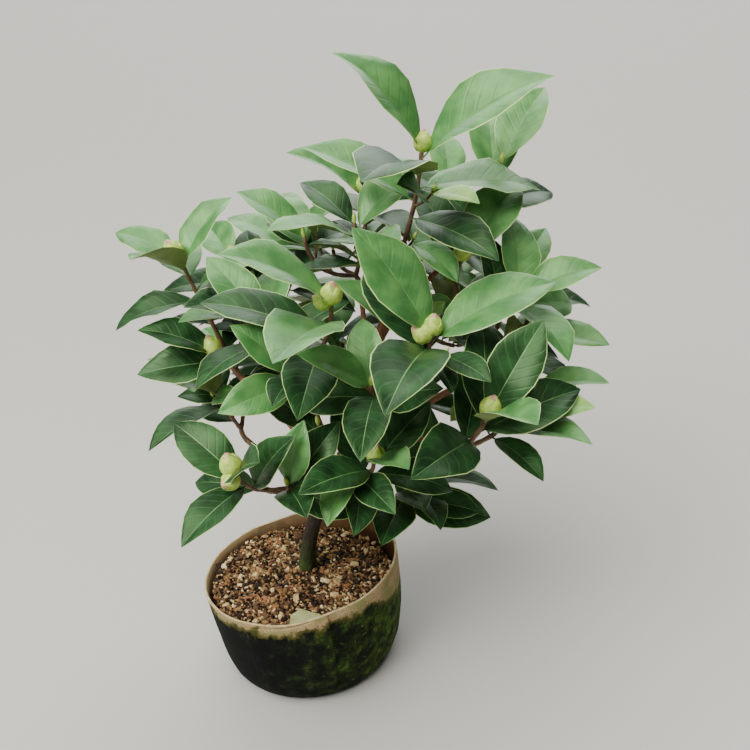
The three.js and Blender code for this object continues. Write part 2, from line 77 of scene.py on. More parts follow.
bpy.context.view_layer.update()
LOG = logging.getLogger("camellia")
MM = 0.001
BODY = "root"
ROUND = 2 * math.pi
UP = np.array([0.0, 0.0, 1.0])
LIGHT = np.array([0.0, -0.7, 1.0])


# Helpers for directions, chance and colours


def unit(way: Array) -> Array:
    """Returns the direction of a vector."""
    return way / np.linalg.norm(way)


def across(along: Array) -> tuple[Array, Array]:
    """Returns the direction across a third that is nearest to +X, and the one across both."""
    u = unit(np.array([1.0, 0.0, 0.0]) - along * along[0])
    return u, np.cross(along, u)


def towards(u: Array, v: Array, turn: float | Array) -> Array:
    """Returns the direction at a turn from one direction towards another, or one for each turn."""
    return np.multiply.outer(np.cos(turn), u) + np.multiply.outer(np.sin(turn), v)


def ring(along: Array, sides: int) -> Array:
    """Returns directions across another, all round it."""
    return towards(*across(along), ROUND * np.arange(sides) / sides)


def polar(radius: float, turn: float) -> tuple[float, float]:
    """Returns the X and Y of a place at a radius and a turn."""
    return radius * math.cos(turn), radius * math.sin(turn)


def clamp(share: float) -> float:
    """Returns a share held between 0 and 1."""
    return min(1.0, max(0.0, share))


def nearest(places: Array, others: Array) -> Array:
    """Returns how far each place is from the nearest of some others."""
    return np.sqrt(((places[:, None] - others[None]) ** 2).sum(axis=2).min(axis=1))


def chance(shoot: int, draw: int) -> float:
    """Draws a number from 0 to 1 that depends only on a shoot's number and the draw's."""
    wave = math.sin(shoot * 12.9898 + draw * 78.233) * 43758.5453
    return wave - math.floor(wave)


def sway(shoot: int, draw: int) -> float:
    """Draws a number from -1 to 1 in the same way."""
    return 2 * chance(shoot, draw) - 1


def linear(code: str) -> tuple[float, float, float, float]:
    """Turns an sRGB hex value to linear light.

    Args:
        code: Six hex digits, with or without a leading hash.

    Returns:
        Red, green, blue and an alpha of 1.
    """
    digits = code.lstrip("#")
    shares = [int(digits[i : i + 2], 16) / 255 for i in (0, 2, 4)]
    light = [v / 12.92 if v <= 0.04045 else ((v + 0.055) / 1.055) ** 2.4 for v in shares]
    return (light[0], light[1], light[2], 1.0)


# Finishes


@dataclass
class Pattern:
    """The pattern of one material. Each method adds a step to its node tree."""

    tree: bpy.types.NodeTree
    shader: bpy.types.Node

    def add(
        self, kind: str, inputs: dict[str | int, object] | None = None, out: str | int = 0,
        **settings: object,
    ) -> Socket:
        """Adds one node.

        Args:
            kind: The shader node's type.
            inputs: A value, or a socket to link, for each input that is used.
            out: The output to return.
            **settings: The node's own properties.

        Returns:
            The output.
        """
        node = self.tree.nodes.new(f"ShaderNode{kind}")
        for name, value in settings.items():
            setattr(node, name, value)
        for name, value in (inputs or {}).items():
            if isinstance(value, Socket):
                self.tree.links.new(value, node.inputs[name])
            else:
                node.inputs[name].default_value = value
        return node.outputs[out]

    @cached_property
    def place(self) -> Socket:
        """The surface's place in metres."""
        return self.add("TexCoord", out="Object")

    def axes(self, place: Socket) -> Sequence[Socket]:
        """Splits a place into its X, Y and Z."""
        return self.add("SeparateXYZ", {0: place}).node.outputs

    def noise(self, scale: float, detail: float, rough: float = 0.5, at: Socket | None = None) -> Socket:
        """Adds noise.

        Args:
            scale: How many lumps it has to a metre.
            detail: How many finer layers it has.
            rough: How strong the finer layers are.
            at: Where it is looked up, if not at the surface's place.

        Returns:
            Its strength.
        """
        values = {"Scale": scale, "Detail": detail, "Roughness": rough, "Vector": at or self.place}
        return self.add("TexNoise", values, "Fac")

    def compute(self, operation: str, *terms: Socket | float) -> Socket:
        """Computes a value from others by one of the Math node's operations."""
        return self.add("Math", dict(enumerate(terms)), operation=operation)

    def spread(
        self, value: Socket, start: float, stop: float, low: float = 0.0, high: float = 1.0
    ) -> Socket:
        """Turns a value's range from start to stop into one from low to high, held at its ends."""
        ends = {"From Min": start, "From Max": stop, "To Min": low, "To Max": high}
        return self.add("MapRange", {"Value": value, **ends}, "Result")

    def mix(self, share: Socket, first: Socket | str, second: Socket | str) -> Socket:
        """Mixes two colours, each a hex value or a socket, by the second one's share."""
        colours = (linear(c) if isinstance(c, str) else c for c in (first, second))
        return self.add("Mix", {0: share, **dict(zip((6, 7), colours))}, 2, data_type="RGBA")

    def ramp(self, share: Socket, *stops: tuple[float, str]) -> Socket:
        """Lays sRGB colours along a share.

        Args:
            share: What picks the place on the ramp.
            *stops: Places from 0 to 1 with their hex colours.

        Returns:
            The colour.
        """
        colour = self.add("ValToRGB", {"Fac": share}, "Color")
        elements = colour.node.color_ramp.elements
        while len(elements) < len(stops):
            elements.new(0.5)
        for element, (place, code) in zip(elements, stops):
            element.position = place
            element.color = linear(code)
        return colour

    def feed(self, name: str, value: Socket) -> None:
        """Feeds one of the shader's inputs."""
        self.tree.links.new(value, self.shader.inputs[name])

    def emboss(self, height: Socket, strength: float, depth: float) -> None:
        """Gives the surface a relief, with its depth in metres."""
        values = {"Strength": strength, "Distance": depth, "Height": height}
        self.feed("Normal", self.add("Bump", values, "Normal"))


@dataclass(frozen=True)
class Finish:
    """A surface finish, named for the real material and how it was made."""

    name: str
    colour: str
    roughness: float = 0.6
    coat: float = 0.0
    shine: float = 0.5
    glint: str = "#ffffff"
    coat_roughness: float = 0.18

    def build(self) -> bpy.types.Material:
        """Makes the material when it is first used.

        Returns:
            The material, with its colour, gloss and relief.
        """
        if material := bpy.data.materials.get(self.name):
            return material
        material = bpy.data.materials.new(self.name)
        material.use_nodes = True
        shader = material.node_tree.nodes["Principled BSDF"]
        for name, value in (
            ("Base Color", linear(self.colour)), ("Roughness", self.roughness),
            ("Specular IOR Level", self.shine), ("Specular Tint", linear(self.glint)),
            ("Coat Weight", self.coat), ("Coat Roughness", self.coat_roughness),
        ):
            shader.inputs[name].default_value = value
        self.dress(Pattern(material.node_tree, shader))
        return material

    def dress(self, pattern: Pattern) -> None:
        """Adds the finish's own pattern to the plain shader."""


@dataclass(frozen=True)
class LeafSkin(Finish):
    """A waxy leaf's upper skin: smooth cuticle with side veins pressed into it every 9 mm or so."""

    shade: str = "#1f3a26"
    vein: str = "#5d7c52"
    vein_share: float = 0.12
    veins: float = 9.0
    vein_slant: float = 0.42
    vein_depth: float = 0.35 * MM

    def dress(self, pattern: Pattern) -> None:
        """Adds cloudy greens, uneven gloss and curved side veins.

        Args:
            pattern: The material's pattern.
        """
        cloud = pattern.noise(55.0, 3.0)
        tint = pattern.ramp(cloud, (0.38, self.shade), (0.66, self.colour))
        side, up, _ = pattern.axes(pattern.add("UVMap", uv_map="leaf"))
        out = pattern.compute("ABSOLUTE", pattern.compute("SUBTRACT", side, 0.5))
        bent = pattern.compute("MULTIPLY_ADD", out, -self.vein_slant, up)
        wave = pattern.compute("SINE", pattern.compute("MULTIPLY", bent, self.veins * ROUND))
        groove = pattern.spread(wave, 0.72, 1.0, 1.0, 0.0)
        pale = pattern.spread(groove, 0.0, 1.0, self.vein_share, 0.0)
        pattern.feed("Base Color", pattern.mix(pale, tint, self.vein))
        gloss = pattern.spread(cloud, 0.0, 1.0, self.roughness - 0.06, self.roughness + 0.1)
        pattern.feed("Roughness", gloss)
        pattern.emboss(groove, 0.35, self.vein_depth)


@dataclass(frozen=True)
class DullSkin(Finish):
    """A matt skin: fine pores 0.4 mm apart and faint clouds of a second tone."""

    shade: str = "#5d6c36"
    cloud_scale: float = 160.0

    def dress(self, pattern: Pattern) -> None:
        """Adds the clouds and pores.

        Args:
            pattern: The material's pattern.
        """
        cloud = pattern.noise(self.cloud_scale, 3.0)
        pattern.feed("Base Color", pattern.ramp(cloud, (0.35, self.shade), (0.62, self.colour)))
        pattern.emboss(pattern.noise(1600.0, 2.0), 0.25, 0.2 * MM)


@dataclass(frozen=True)
class LivingBark(Finish):
    """Living bark: red-brown and smooth on young wood, grey-brown below, with moss on the foot."""

    young: str = "#7b5136"
    old: str = "#33291d"
    moss: str = "#3a4a1c"
    moss_top: float = 0.115
    old_top: float = 0.20

    def dress(self, pattern: Pattern) -> None:
        """Adds the change from mossy foot to young wood, and long fissures 2 mm apart, with painted
        shade in the fissures and painted light on the ridges.

        Args:
            pattern: The material's pattern.
        """
        up = pattern.axes(pattern.place)[2]
        height = pattern.compute("MULTIPLY_ADD", pattern.noise(90.0, 5.0), 0.06, up)
        age = pattern.spread(height, self.old_top, self.old_top + 0.09)
        mossy = pattern.spread(height, self.moss_top + 0.05, self.moss_top)
        green = pattern.mix(mossy, pattern.mix(age, self.old, self.young), self.moss)
        stretched = pattern.add("Mapping", {"Scale": (1.0, 1.0, 0.22), "Vector": pattern.place})
        fissures = pattern.noise(520.0, 5.0, 0.65, stretched)
        # Painted shade: the colour is darkened in the fissures and lightened on the ridges between them.
        fissure_shade = pattern.spread(fissures, 0.36, 0.56, 0.55, 1.1)
        lit = pattern.add("VectorMath", {0: green, "Scale": fissure_shade}, operation="SCALE")
        pattern.feed("Base Color", lit)
        pattern.emboss(fissures, 0.6, 0.5 * MM)


@dataclass(frozen=True)
class FeltedCloth(Finish):
    """Thin felted cloth: bare and tan along the rim, then overgrown with green and black algae, with
    painted shade darkening the left side.
    """

    rim_height: float = 0.106
    rim_slope: float = 0.135
    rim_high_side: float = -21.0
    bare: float = 0.0095
    bare_growth: float = 0.03
    bare_corner: float = 0.018
    ragged_middle: float = 0.022
    stain: str = "#4d4a20"
    dust: str = "#7d7a50"
    damp: str = "#7a7a4a"
    felt_scale: float = 900.0

    def depth(self, pattern: Pattern) -> Socket:
        """Adds the height of a place as it would be with a level rim, raised to the right.

        Args:
            pattern: The material's pattern.

        Returns:
            The height in metres.
        """
        high = math.radians(self.rim_high_side)
        slope = (
            self.bare_growth - self.rim_slope * math.cos(high), -self.rim_slope * math.sin(high), 1.0
        )
        return pattern.add("VectorMath", {1: slope, 0: pattern.place}, "Value", operation="DOT_PRODUCT")

    def dress(self, pattern: Pattern) -> None:
        """Adds the bare band, the algae below it, darkened towards the left as painted shade, and the
        felt's pressed fibres.

        Args:
            pattern: The material's pattern.
        """
        right = pattern.axes(pattern.place)[0]
        corner = pattern.spread(right, 0.07, 0.1, 0.0, self.bare_corner)
        smear = pattern.noise(38.0, 9.0, 0.7)
        growth = pattern.noise(75.0, 6.0, 0.7)
        ragged = self.depth(pattern)
        for wave, reach in ((smear, 0.03), (growth, 0.014)):
            ragged = pattern.compute("MULTIPLY_ADD", wave, reach, ragged)
        ragged = pattern.compute("ADD", ragged, corner)
        edge = self.rim_height - self.bare + self.ragged_middle
        stained = pattern.spread(ragged, edge - 0.006, edge - 0.002)
        bare = pattern.spread(ragged, edge - 0.001, edge + 0.003)
        # Partly algae and partly painted shade: the algae runs from green on the right to near black on
        # the shaded left.
        algae_and_shade = pattern.compute("MULTIPLY_ADD", right, 1.9, growth)
        algae = pattern.ramp(
            algae_and_shade, (0.42, "#060905"), (0.54, "#10170b"), (0.66, "#253511"), (0.84, "#4b6a20")
        )
        scuffs = pattern.compute("MULTIPLY_ADD", right, 0.9, pattern.noise(190.0, 3.0, 0.6))
        moss = pattern.mix(pattern.spread(scuffs, 0.7, 0.78, 0.0, 0.6), algae, self.dust)
        fibres = pattern.noise(self.felt_scale, 4.0)
        tan = pattern.ramp(fibres, (0.3, "#7f6444"), (0.5, "#a58c66"), (0.7, "#c2ad86"))
        worn = pattern.mix(pattern.spread(smear, 0.46, 0.6, 0.0, 0.8), tan, self.damp)
        foot = pattern.mix(stained, moss, self.stain)
        pattern.feed("Base Color", pattern.mix(bare, foot, worn))
        pattern.emboss(pattern.compute("MULTIPLY_ADD", growth, 0.6, fibres), 0.55, 0.8 * MM)


@dataclass(frozen=True)
class DampShadedCloth(FeltedCloth):
    """The bag's inner face: pale along the rim and on the left, darker and browner down by the soil and
    on the right, partly damp and partly painted shade inside the bag.
    """

    def dress(self, pattern: Pattern) -> None:
        """Adds the damp and painted shade that darken the cloth towards the soil, and the felt's fibres.

        Args:
            pattern: The material's pattern.
        """
        cloud = pattern.noise(55.0, 6.0, 0.65)
        # Partly damp and partly painted shade: the inner face darkens down towards the soil and towards
        # the right.
        dry = pattern.compute("MULTIPLY_ADD", cloud, 0.03, self.depth(pattern))
        share = pattern.spread(dry, 0.075, 0.124)
        tint = pattern.ramp(
            share, (0.0, "#23160d"), (0.35, "#4c331f"), (0.7, "#7a5b3c"), (1.0, "#a58c66")
        )
        pattern.feed("Base Color", tint)
        pattern.emboss(pattern.noise(self.felt_scale, 4.0), 0.5, 0.6 * MM)


class LeafSlot(IntEnum):
    """The material slots of a leaf piece. The first three are the leaf's greens, by age and by painted
    shade on low and inner leaves.
    """

    DEEP = 0
    FULL = 1
    FRESH = 2
    RIM = 3
    RIB = 4
    UNDER = 5


LEAF_FINISHES = (
    # Camellia cuticle is hard and waxy, so the blade shows a soft sheen of the sky over deep green.
    # Besides age, the deep and full greens stand for painted shade and painted light: low and inner
    # leaves take the deep one.
    LeafSkin("waxed_leaf_deep", "#254b26", 0.39, 0.04, 0.65, "#b0e49a", shade="#122c16"),
    LeafSkin("waxed_leaf_full", "#5e934e", 0.37, 0.04, 0.95, "#c8f4b4", shade="#3f733a"),
    LeafSkin("waxed_leaf_fresh", "#96c062", 0.4, 0.04, 0.95, "#d2f4b0", shade="#70a450"),
    # The thick margin has no green tissue, so it reads as a thin pale line, and the rib as a faint one.
    DullSkin("leaf_margin", "#bcd488", 0.45, shade="#9fbd6c", cloud_scale=90.0),
    DullSkin("leaf_midrib", "#6f9a58", 0.42, shade="#547f45", cloud_scale=90.0),
    # The underside has no wax, and is yellower and matt.
    DullSkin("leaf_underside", "#71853f", 0.62, shade="#5c7135", cloud_scale=70.0),
)
# Bud scales are downy, so they are pale and soft.
BUD_SCALE = DullSkin("downy_bud_scale", "#c4da62", 0.5, shade="#9cba48", cloud_scale=260.0)
BUD_TIP = DullSkin("dried_bud_tip", "#cfae8a", 0.7, shade="#a98262", cloud_scale=300.0)
TWIG_BARK = DullSkin("green_twig_bark", "#6f5336", 0.6, shade="#4f3122", cloud_scale=120.0)
BARK = LivingBark("living_bark", "#4a3a29", 0.82)
CLOTH = FeltedCloth("felted_bag_cloth", "#3c4a28", 0.92, shine=0.15)
CLOTH_INSIDE = DampShadedCloth("felted_cloth_inside", "#745136", 0.92, shine=0.15, bare_growth=-0.1)
# The frayed cut edge is pale, and painted light on its upward-facing top makes it the palest part of the
# bag.
CLOTH_LIP = DullSkin("frayed_cloth_edge", "#d2c096", 0.92, shine=0.2, shade="#ab9468", cloud_scale=90.0)
CLOTH_FLAP = DullSkin("folded_cloth_flap", "#a9a878", 0.92, shine=0.2, shade="#7c8154", cloud_scale=50.0)
# Bark chips and coir dry unevenly, so the grains run from wet black-brown to pale straw.
GRAINS = tuple(
    DullSkin(name, colour, roughness, shine=0.2, shade=shade, cloud_scale=300.0)
    for name, colour, roughness, shade in (
        ("wet_bark_grain", "#33251a", 0.85, "#211810"),
        ("bark_grain", "#6a4e34", 0.88, "#493524"),
        ("dry_bark_grain", "#9c794c", 0.9, "#785a36"),
        ("coir_grain", "#a06c46", 0.9, "#7a5236"),
        ("straw_grain", "#cfb482", 0.9, "#aa8f62"),
        ("pale_chip", "#e0cda2", 0.88, "#cbb385"),
    )
)


# Meshes


def quads(rows: int, columns: int, closed: bool = True) -> Faces:
    """Lists the faces of a net of points.

    Args:
        rows: The rows of points.
        columns: The points in a row.
        closed: Whether each row is a ring.

    Returns:
        The faces, row by row.
    """
    faces = []
    for i in range(rows - 1):
        for j in range(columns if closed else columns - 1):
            a, b = i * columns + j, i * columns + (j + 1) % columns
            faces.append((a, b, b + columns, a + columns))
    return faces


def fan(start: int, sides: int, hub: int) -> Faces:
    """Lists the faces between a ring of points and one point."""
    return [(start + j, start + (j + 1) % sides, hub) for j in range(sides)]


@dataclass
class Patchwork:
    """Many small things gathered for one joined mesh, whose edges are sharp from a crease on."""

    points: list[Array] = field(default_factory=list)
    marks: list[Array] = field(default_factory=list)
    faces: Faces = field(default_factory=list)
    slots: list[int] = field(default_factory=list)
    count: int = 0
    crease: float = 48

    def add(
        self, points: Array, faces: Iterable[Sequence[int]], slots: Iterable[int],
        marks: Array | None = None,
    ) -> None:
        """Adds one thing.

        Args:
            points: Its points in millimetres.
            faces: Its faces, as numbers of its own points.
            slots: The material slot of each face.
            marks: A place on the leaf for each point, across and along.
        """
        self.faces.extend(tuple(self.count + i for i in face) for face in faces)
        self.slots.extend(slots)
        self.points.append(points)
        self.marks.append(np.zeros((len(points), 2)) if marks is None else marks)
        self.count += len(points)

    def build(
        self, name: str, finishes: Iterable[Finish], slot: str, nodes: Iterable[str]
    ) -> None:
        """Makes the joined mesh, smooth but for its sharp edges, as a piece of the plant.

        Args:
            name: The piece's name.
            finishes: The finishes of its own slots.
            slot: The record's material slot.
            nodes: The solids that it stands for.
        """
        mesh = bpy.data.meshes.new(name)
        mesh.from_pydata((np.vstack(self.points) * MM).tolist(), [], self.faces)
        mesh.polygons.foreach_set("material_index", self.slots)
        corners = np.empty(len(mesh.loops), dtype=np.int32)
        mesh.loops.foreach_get("vertex_index", corners)
        layer = mesh.uv_layers.new(name="leaf")
        layer.data.foreach_set("uv", np.vstack(self.marks)[corners].astype(np.float32).ravel())
        mesh.shade_smooth()
        mesh.set_sharp_from_angle(angle=math.radians(self.crease))
        mesh.update()
        settle(add_object(name, mesh), slot, nodes, *finishes)


def add_object(name: str, data: bpy.types.ID) -> Piece:
    """Adds an object to the scene.

    Args:
        name: Its name.
        data: Its mesh, light or camera.

    Returns:
        The object.
    """
    piece = bpy.data.objects.new(name, data)
    bpy.context.scene.collection.objects.link(piece)
    return piece


def settle(piece: Piece, slot: str, nodes: Iterable[str], *finishes: Finish) -> None:
    """Dresses a piece and makes it part of the plant.

    Args:
        piece: The piece.
        slot: The record's material slot; not used.
        nodes: The solids that it stands for.
        *finishes: The finishes of its own slots.
    """
    for finish in finishes:
        piece.data.materials.append(finish.build())
    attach(piece, BODY)
    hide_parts(*nodes)
    LOG.info("%s: %d faces", piece.name, len(piece.data.polygons))


def deselect() -> None:
    """Goes back to object mode with nothing selected."""
    if bpy.context.object and bpy.context.object.mode != "OBJECT":
        bpy.ops.object.mode_set(mode="OBJECT")
    bpy.ops.object.select_all(action="DESELECT")


def select(*pieces: Piece) -> None:
    """Selects some objects alone and makes the first one active.

    Args:
        *pieces: The objects.
    """
    deselect()
    for piece in pieces:
        piece.select_set(True)
    bpy.context.view_layer.objects.active = pieces[0]


def draft(name: str, draw: Callable[..., object], **sizes: object) -> Piece:
    """Drafts an object from a plain shape.

    Args:
        name: Its name.
        draw: The command that draws the shape.
        **sizes: The shape's sizes.

    Returns:
        The object.
    """
    deselect()
    draw(**sizes)
    piece = bpy.context.object
    piece.name = piece.data.name = name
    return piece


def open_faces() -> None:
    """Opens the active object for modelling, with all its faces picked."""
    bpy.ops.object.mode_set(mode="EDIT")
    bpy.ops.mesh.select_mode(type="FACE")
    bpy.ops.mesh.select_all(action="SELECT")


def close_faces(piece: Piece, place: Callable[[float, float, float], Vector]) -> None:
    """Ends the modelling of an object: turns its faces outwards and moves its points.

    Args:
        piece: The object.
        place: Takes a place on the modelled shape in millimetres to its own place in metres.
    """
    bpy.ops.mesh.select_all(action="SELECT")
    bpy.ops.mesh.normals_make_consistent(inside=False)
    bpy.ops.object.mode_set(mode="OBJECT")
    for vertex in piece.data.vertices:
        vertex.co = place(*(vertex.co / MM))


def apply_modifier(piece: Piece, kind: str, **settings: object) -> None:
    """Adds a modifier and applies it.

    Args:
        piece: The object.
        kind: The modifier's type.
        **settings: Its properties.
    """
    select(piece)
    modifier = piece.modifiers.new(kind.lower(), kind)
    for name, value in settings.items():
        setattr(modifier, name, value)
    bpy.ops.object.modifier_apply(modifier=modifier.name)


# Limbs


@dataclass(frozen=True)
class Bend:
    """A quadratic curve between two places, drawn towards a third."""

    start: Array
    pull: Array
    end: Array

    def point(self, t: float | Array) -> Array:
        """Returns the place at a share of the curve, or one place for each row of shares."""
        return (1 - t) ** 2 * self.start + 2 * t * (1 - t) * self.pull + t**2 * self.end

    def along(self, t: float) -> Array:
        """Returns the direction at a share of the curve."""
        return unit((1 - t) * (self.pull - self.start) + t * (self.end - self.pull))

    def length(self) -> float:
        """Returns the curve's length, measured in 200 chords."""
        places = self.point(np.linspace(0, 1, 201)[:, None])
        return float(np.linalg.norm(np.diff(places, axis=0), axis=1).sum())


@dataclass(frozen=True)
class Limb:
    """A tapering limb: its middle, its radius at both ends, and any flare at its foot."""

    curve: Bend
    thick: float
    thin: float
    flare: float = 0.0
    flare_share: float = 0.12

    def radius(self, t: float) -> float:
        """Returns the radius at a share of the length."""
        swell = self.flare * math.exp(-t / self.flare_share)
        return self.thick + (self.thin - self.thick) * t + swell


@dataclass(frozen=True)
class Bough:
    """A bough: where it leaves its parent, its tip, and its radii at foot and tip."""

    name: str
    parent: str
    at: float
    tip: Place
    radii: tuple[float, float]


BOUGHS = (
    Bough("bough_leader", "trunk", 1, (86, 24, 372), (6.6, 4)),
    Bough("bough_centre", "trunk", 0.93, (8, -22, 322), (5, 3.6)),
    Bough("bough_left", "trunk", 0.86, (-52, 16, 312), (4.8, 3.2)),
    Bough("bough_centre_right", "trunk", 0.95, (94, -42, 312), (5, 3.4)),
    Bough("bough_right", "trunk", 0.9, (168, 22, 306), (4.6, 3.2)),
    Bough("bough_back_left", "trunk", 0.9, (-24, 84, 330), (4.6, 3.2)),
    Bough("bough_back_right", "trunk", 0.84, (122, 104, 306), (4.4, 3)),
    Bough("bough_front_left", "trunk", 0.72, (-16, -66, 236), (4.2, 2.8)),
    Bough("bough_low_front", "trunk", 0.8, (54, -58, 238), (4, 2.8)),
    Bough("bough_low_right", "trunk", 0.5, (86, -22, 190), (4, 2.8)),
    Bough("bough_low_back", "trunk", 0.64, (36, 82, 226), (4, 2.8)),
    Bough("bough_low_left", "trunk", 0.55, (-52, 46, 222), (3.8, 2.7)),
    Bough("bough_upper_right", "bough_leader", 0.55, (142, 12, 372), (3.6, 2.8)),
    Bough("bough_top_right", "bough_leader", 0.8, (150, 66, 412), (3.4, 2.7)),
    Bough("bough_back", "bough_leader", 0.5, (62, 98, 372), (3.5, 2.8)),
    Bough("bough_front_right", "bough_centre_right", 0.6, (142, -78, 284), (3.3, 2.7)),
)


@dataclass
class Wood:
    """The trunk and boughs: tapering limbs melted into one piece of living wood with bark relief."""

    foot: Place = (4, 22, 83.3)
    pull: Place = (6, 19, 132)
    top: Place = (26, 8, 182)
    foot_radius: float = 8.6
    top_radius: float = 7.6
    flare: float = 1.8
    follow: float = 0.42
    cuts: int = 6
    grain: float = 1.1
    fissure_depth: float = 0.55
    old_top: float = 175
    old_fade: float = 60
    ribs_height: float = 22
    buried: float = 1.5
    limbs: dict[str, Limb] = field(default_factory=dict)

    def __post_init__(self) -> None:
        """Works out every limb's curve from its parent's."""
        trunk = Bend(*(np.array(place, float) for place in (self.foot, self.pull, self.top)))
        self.limbs["trunk"] = Limb(trunk, self.foot_radius, self.top_radius, self.flare)
        for bough in BOUGHS:
            parent = self.limbs[bough.parent].curve
            foot = parent.point(bough.at)
            tip = np.array(bough.tip, float)
            reach = math.dist(tip, foot) * self.follow
            pull = foot + parent.along(bough.at) * reach
            self.limbs[bough.name] = Limb(Bend(foot, pull, tip), *bough.radii)

    def draw_limb(self, name: str, limb: Limb) -> Piece:
        """Draws one limb as a round tapering tube.

        Args:
            name: The limb's name.
            limb: Its curve and radii.

        Returns:
            The tube as a mesh object.
        """
        tube = draft(f"draft_{name}", bpy.ops.curve.primitive_bezier_curve_add, location=(0, 0, 0))
        curve = limb.curve
        knots = tube.data.splines[0].bezier_points
        for knot, end, order in ((knots[0], curve.start, 1), (knots[1], curve.end, -1)):
            knot.handle_left_type = knot.handle_right_type = "FREE"
            knot.co = Vector(end * MM)
            inner = Vector((end + (curve.pull - end) * 2 / 3) * MM)
            knot.handle_left, knot.handle_right = (knot.co * 2 - inner, inner)[::order]
        bpy.ops.object.mode_set(mode="EDIT")
        bpy.ops.curve.select_all(action="SELECT")
        bpy.ops.curve.subdivide(number_cuts=self.cuts)
        bpy.ops.object.mode_set(mode="OBJECT")
        knots = tube.data.splines[0].bezier_points
        for i, knot in enumerate(knots):
            knot.radius = limb.radius(i / (len(knots) - 1))
        tube.data.bevel_depth = MM
        tube.data.bevel_resolution = 5
        tube.data.use_fill_caps = True
        bpy.ops.object.convert(target="MESH")
        return tube

    def relief(self, place: Vector) -> float:
        """Works out how far the bark stands out, with its fissures and the ribs of the foot.

        Args:
            place: A place on the limbs, in millimetres.

        Returns:
            The height there, in millimetres.
        """
        old = 1 - clamp((place.z - self.old_top) / self.old_fade)
        fissure = noise.noise(Vector((place.x * 0.55, place.y * 0.55, place.z * 0.12)))
        depth = self.fissure_depth * (0.25 + 0.75 * old)
        push = depth * (0.5 * noise.noise(place * 0.16) - 1.6 * abs(fissure))
        foot = max(0.0, 1 - (place.z - self.foot[2]) / self.ribs_height)
        if foot == 0:
            return push
        axis = self.limbs["trunk"].curve
        middle = axis.point(clamp((place.z - axis.start[2]) / (axis.end[2] - axis.start[2])))
        turn = math.atan2(place.y - middle[1], place.x - middle[0])
        return push + foot**1.5 * (1.1 * math.sin(3 * turn + 0.7) + 0.7 * math.sin(5 * turn))

    def carve(self, wood: Piece) -> None:
        """Gives the melted limbs their relief, and ends them a little below the soil.

        Args:
            wood: The melted limbs.
        """
        mesh = wood.data
        places, normals = (np.empty(len(mesh.vertices) * 3) for _ in range(2))
        mesh.vertices.foreach_get("co", places)
        mesh.vertices.foreach_get("normal", normals)
        places, normals = places.reshape(-1, 3) / MM, normals.reshape(-1, 3)
        pushes = np.array([self.relief(Vector(place)) for place in places])
        places += normals * pushes[:, None]
        places[:, 2] = np.maximum(places[:, 2], self.foot[2] - self.buried)
        mesh.vertices.foreach_set("co", (places * MM).ravel())
        mesh.update()

    def build(self) -> None:
        """Melts the limbs together and finishes their bark."""
        select(*[self.draw_limb(name, limb) for name, limb in self.limbs.items()])
        bpy.ops.object.join()
        wood = bpy.context.object
        wood.name = wood.data.name = "trunk_and_boughs"
        apply_modifier(wood, "REMESH", mode="VOXEL", voxel_size=self.grain * MM)
        apply_modifier(wood, "SMOOTH", factor=0.5, iterations=5)
        self.carve(wood)
        wood.data.shade_smooth()
        wood.data.materials.clear()
        settle(wood, "bark", self.limbs, BARK)


# Leaves


@dataclass(frozen=True)
class Shoot:
    """A leafy shoot: its tip, how its spiral starts and winds, its leaves' length, and its buds.

    One leaf of the spiral may have fallen.
    """

    tip: Place
    first: float
    turn: int
    leaves: int
    length: float
    buds: int = 0
    erect: float = 0.0
    fall: float = 9.0
    fallen: int = -1


@dataclass(frozen=True)
class Spray:
    """One mass of foliage: the bough that it ends, and its shoots."""

    name: str
    bough: str
    shoots: tuple[Shoot, ...]


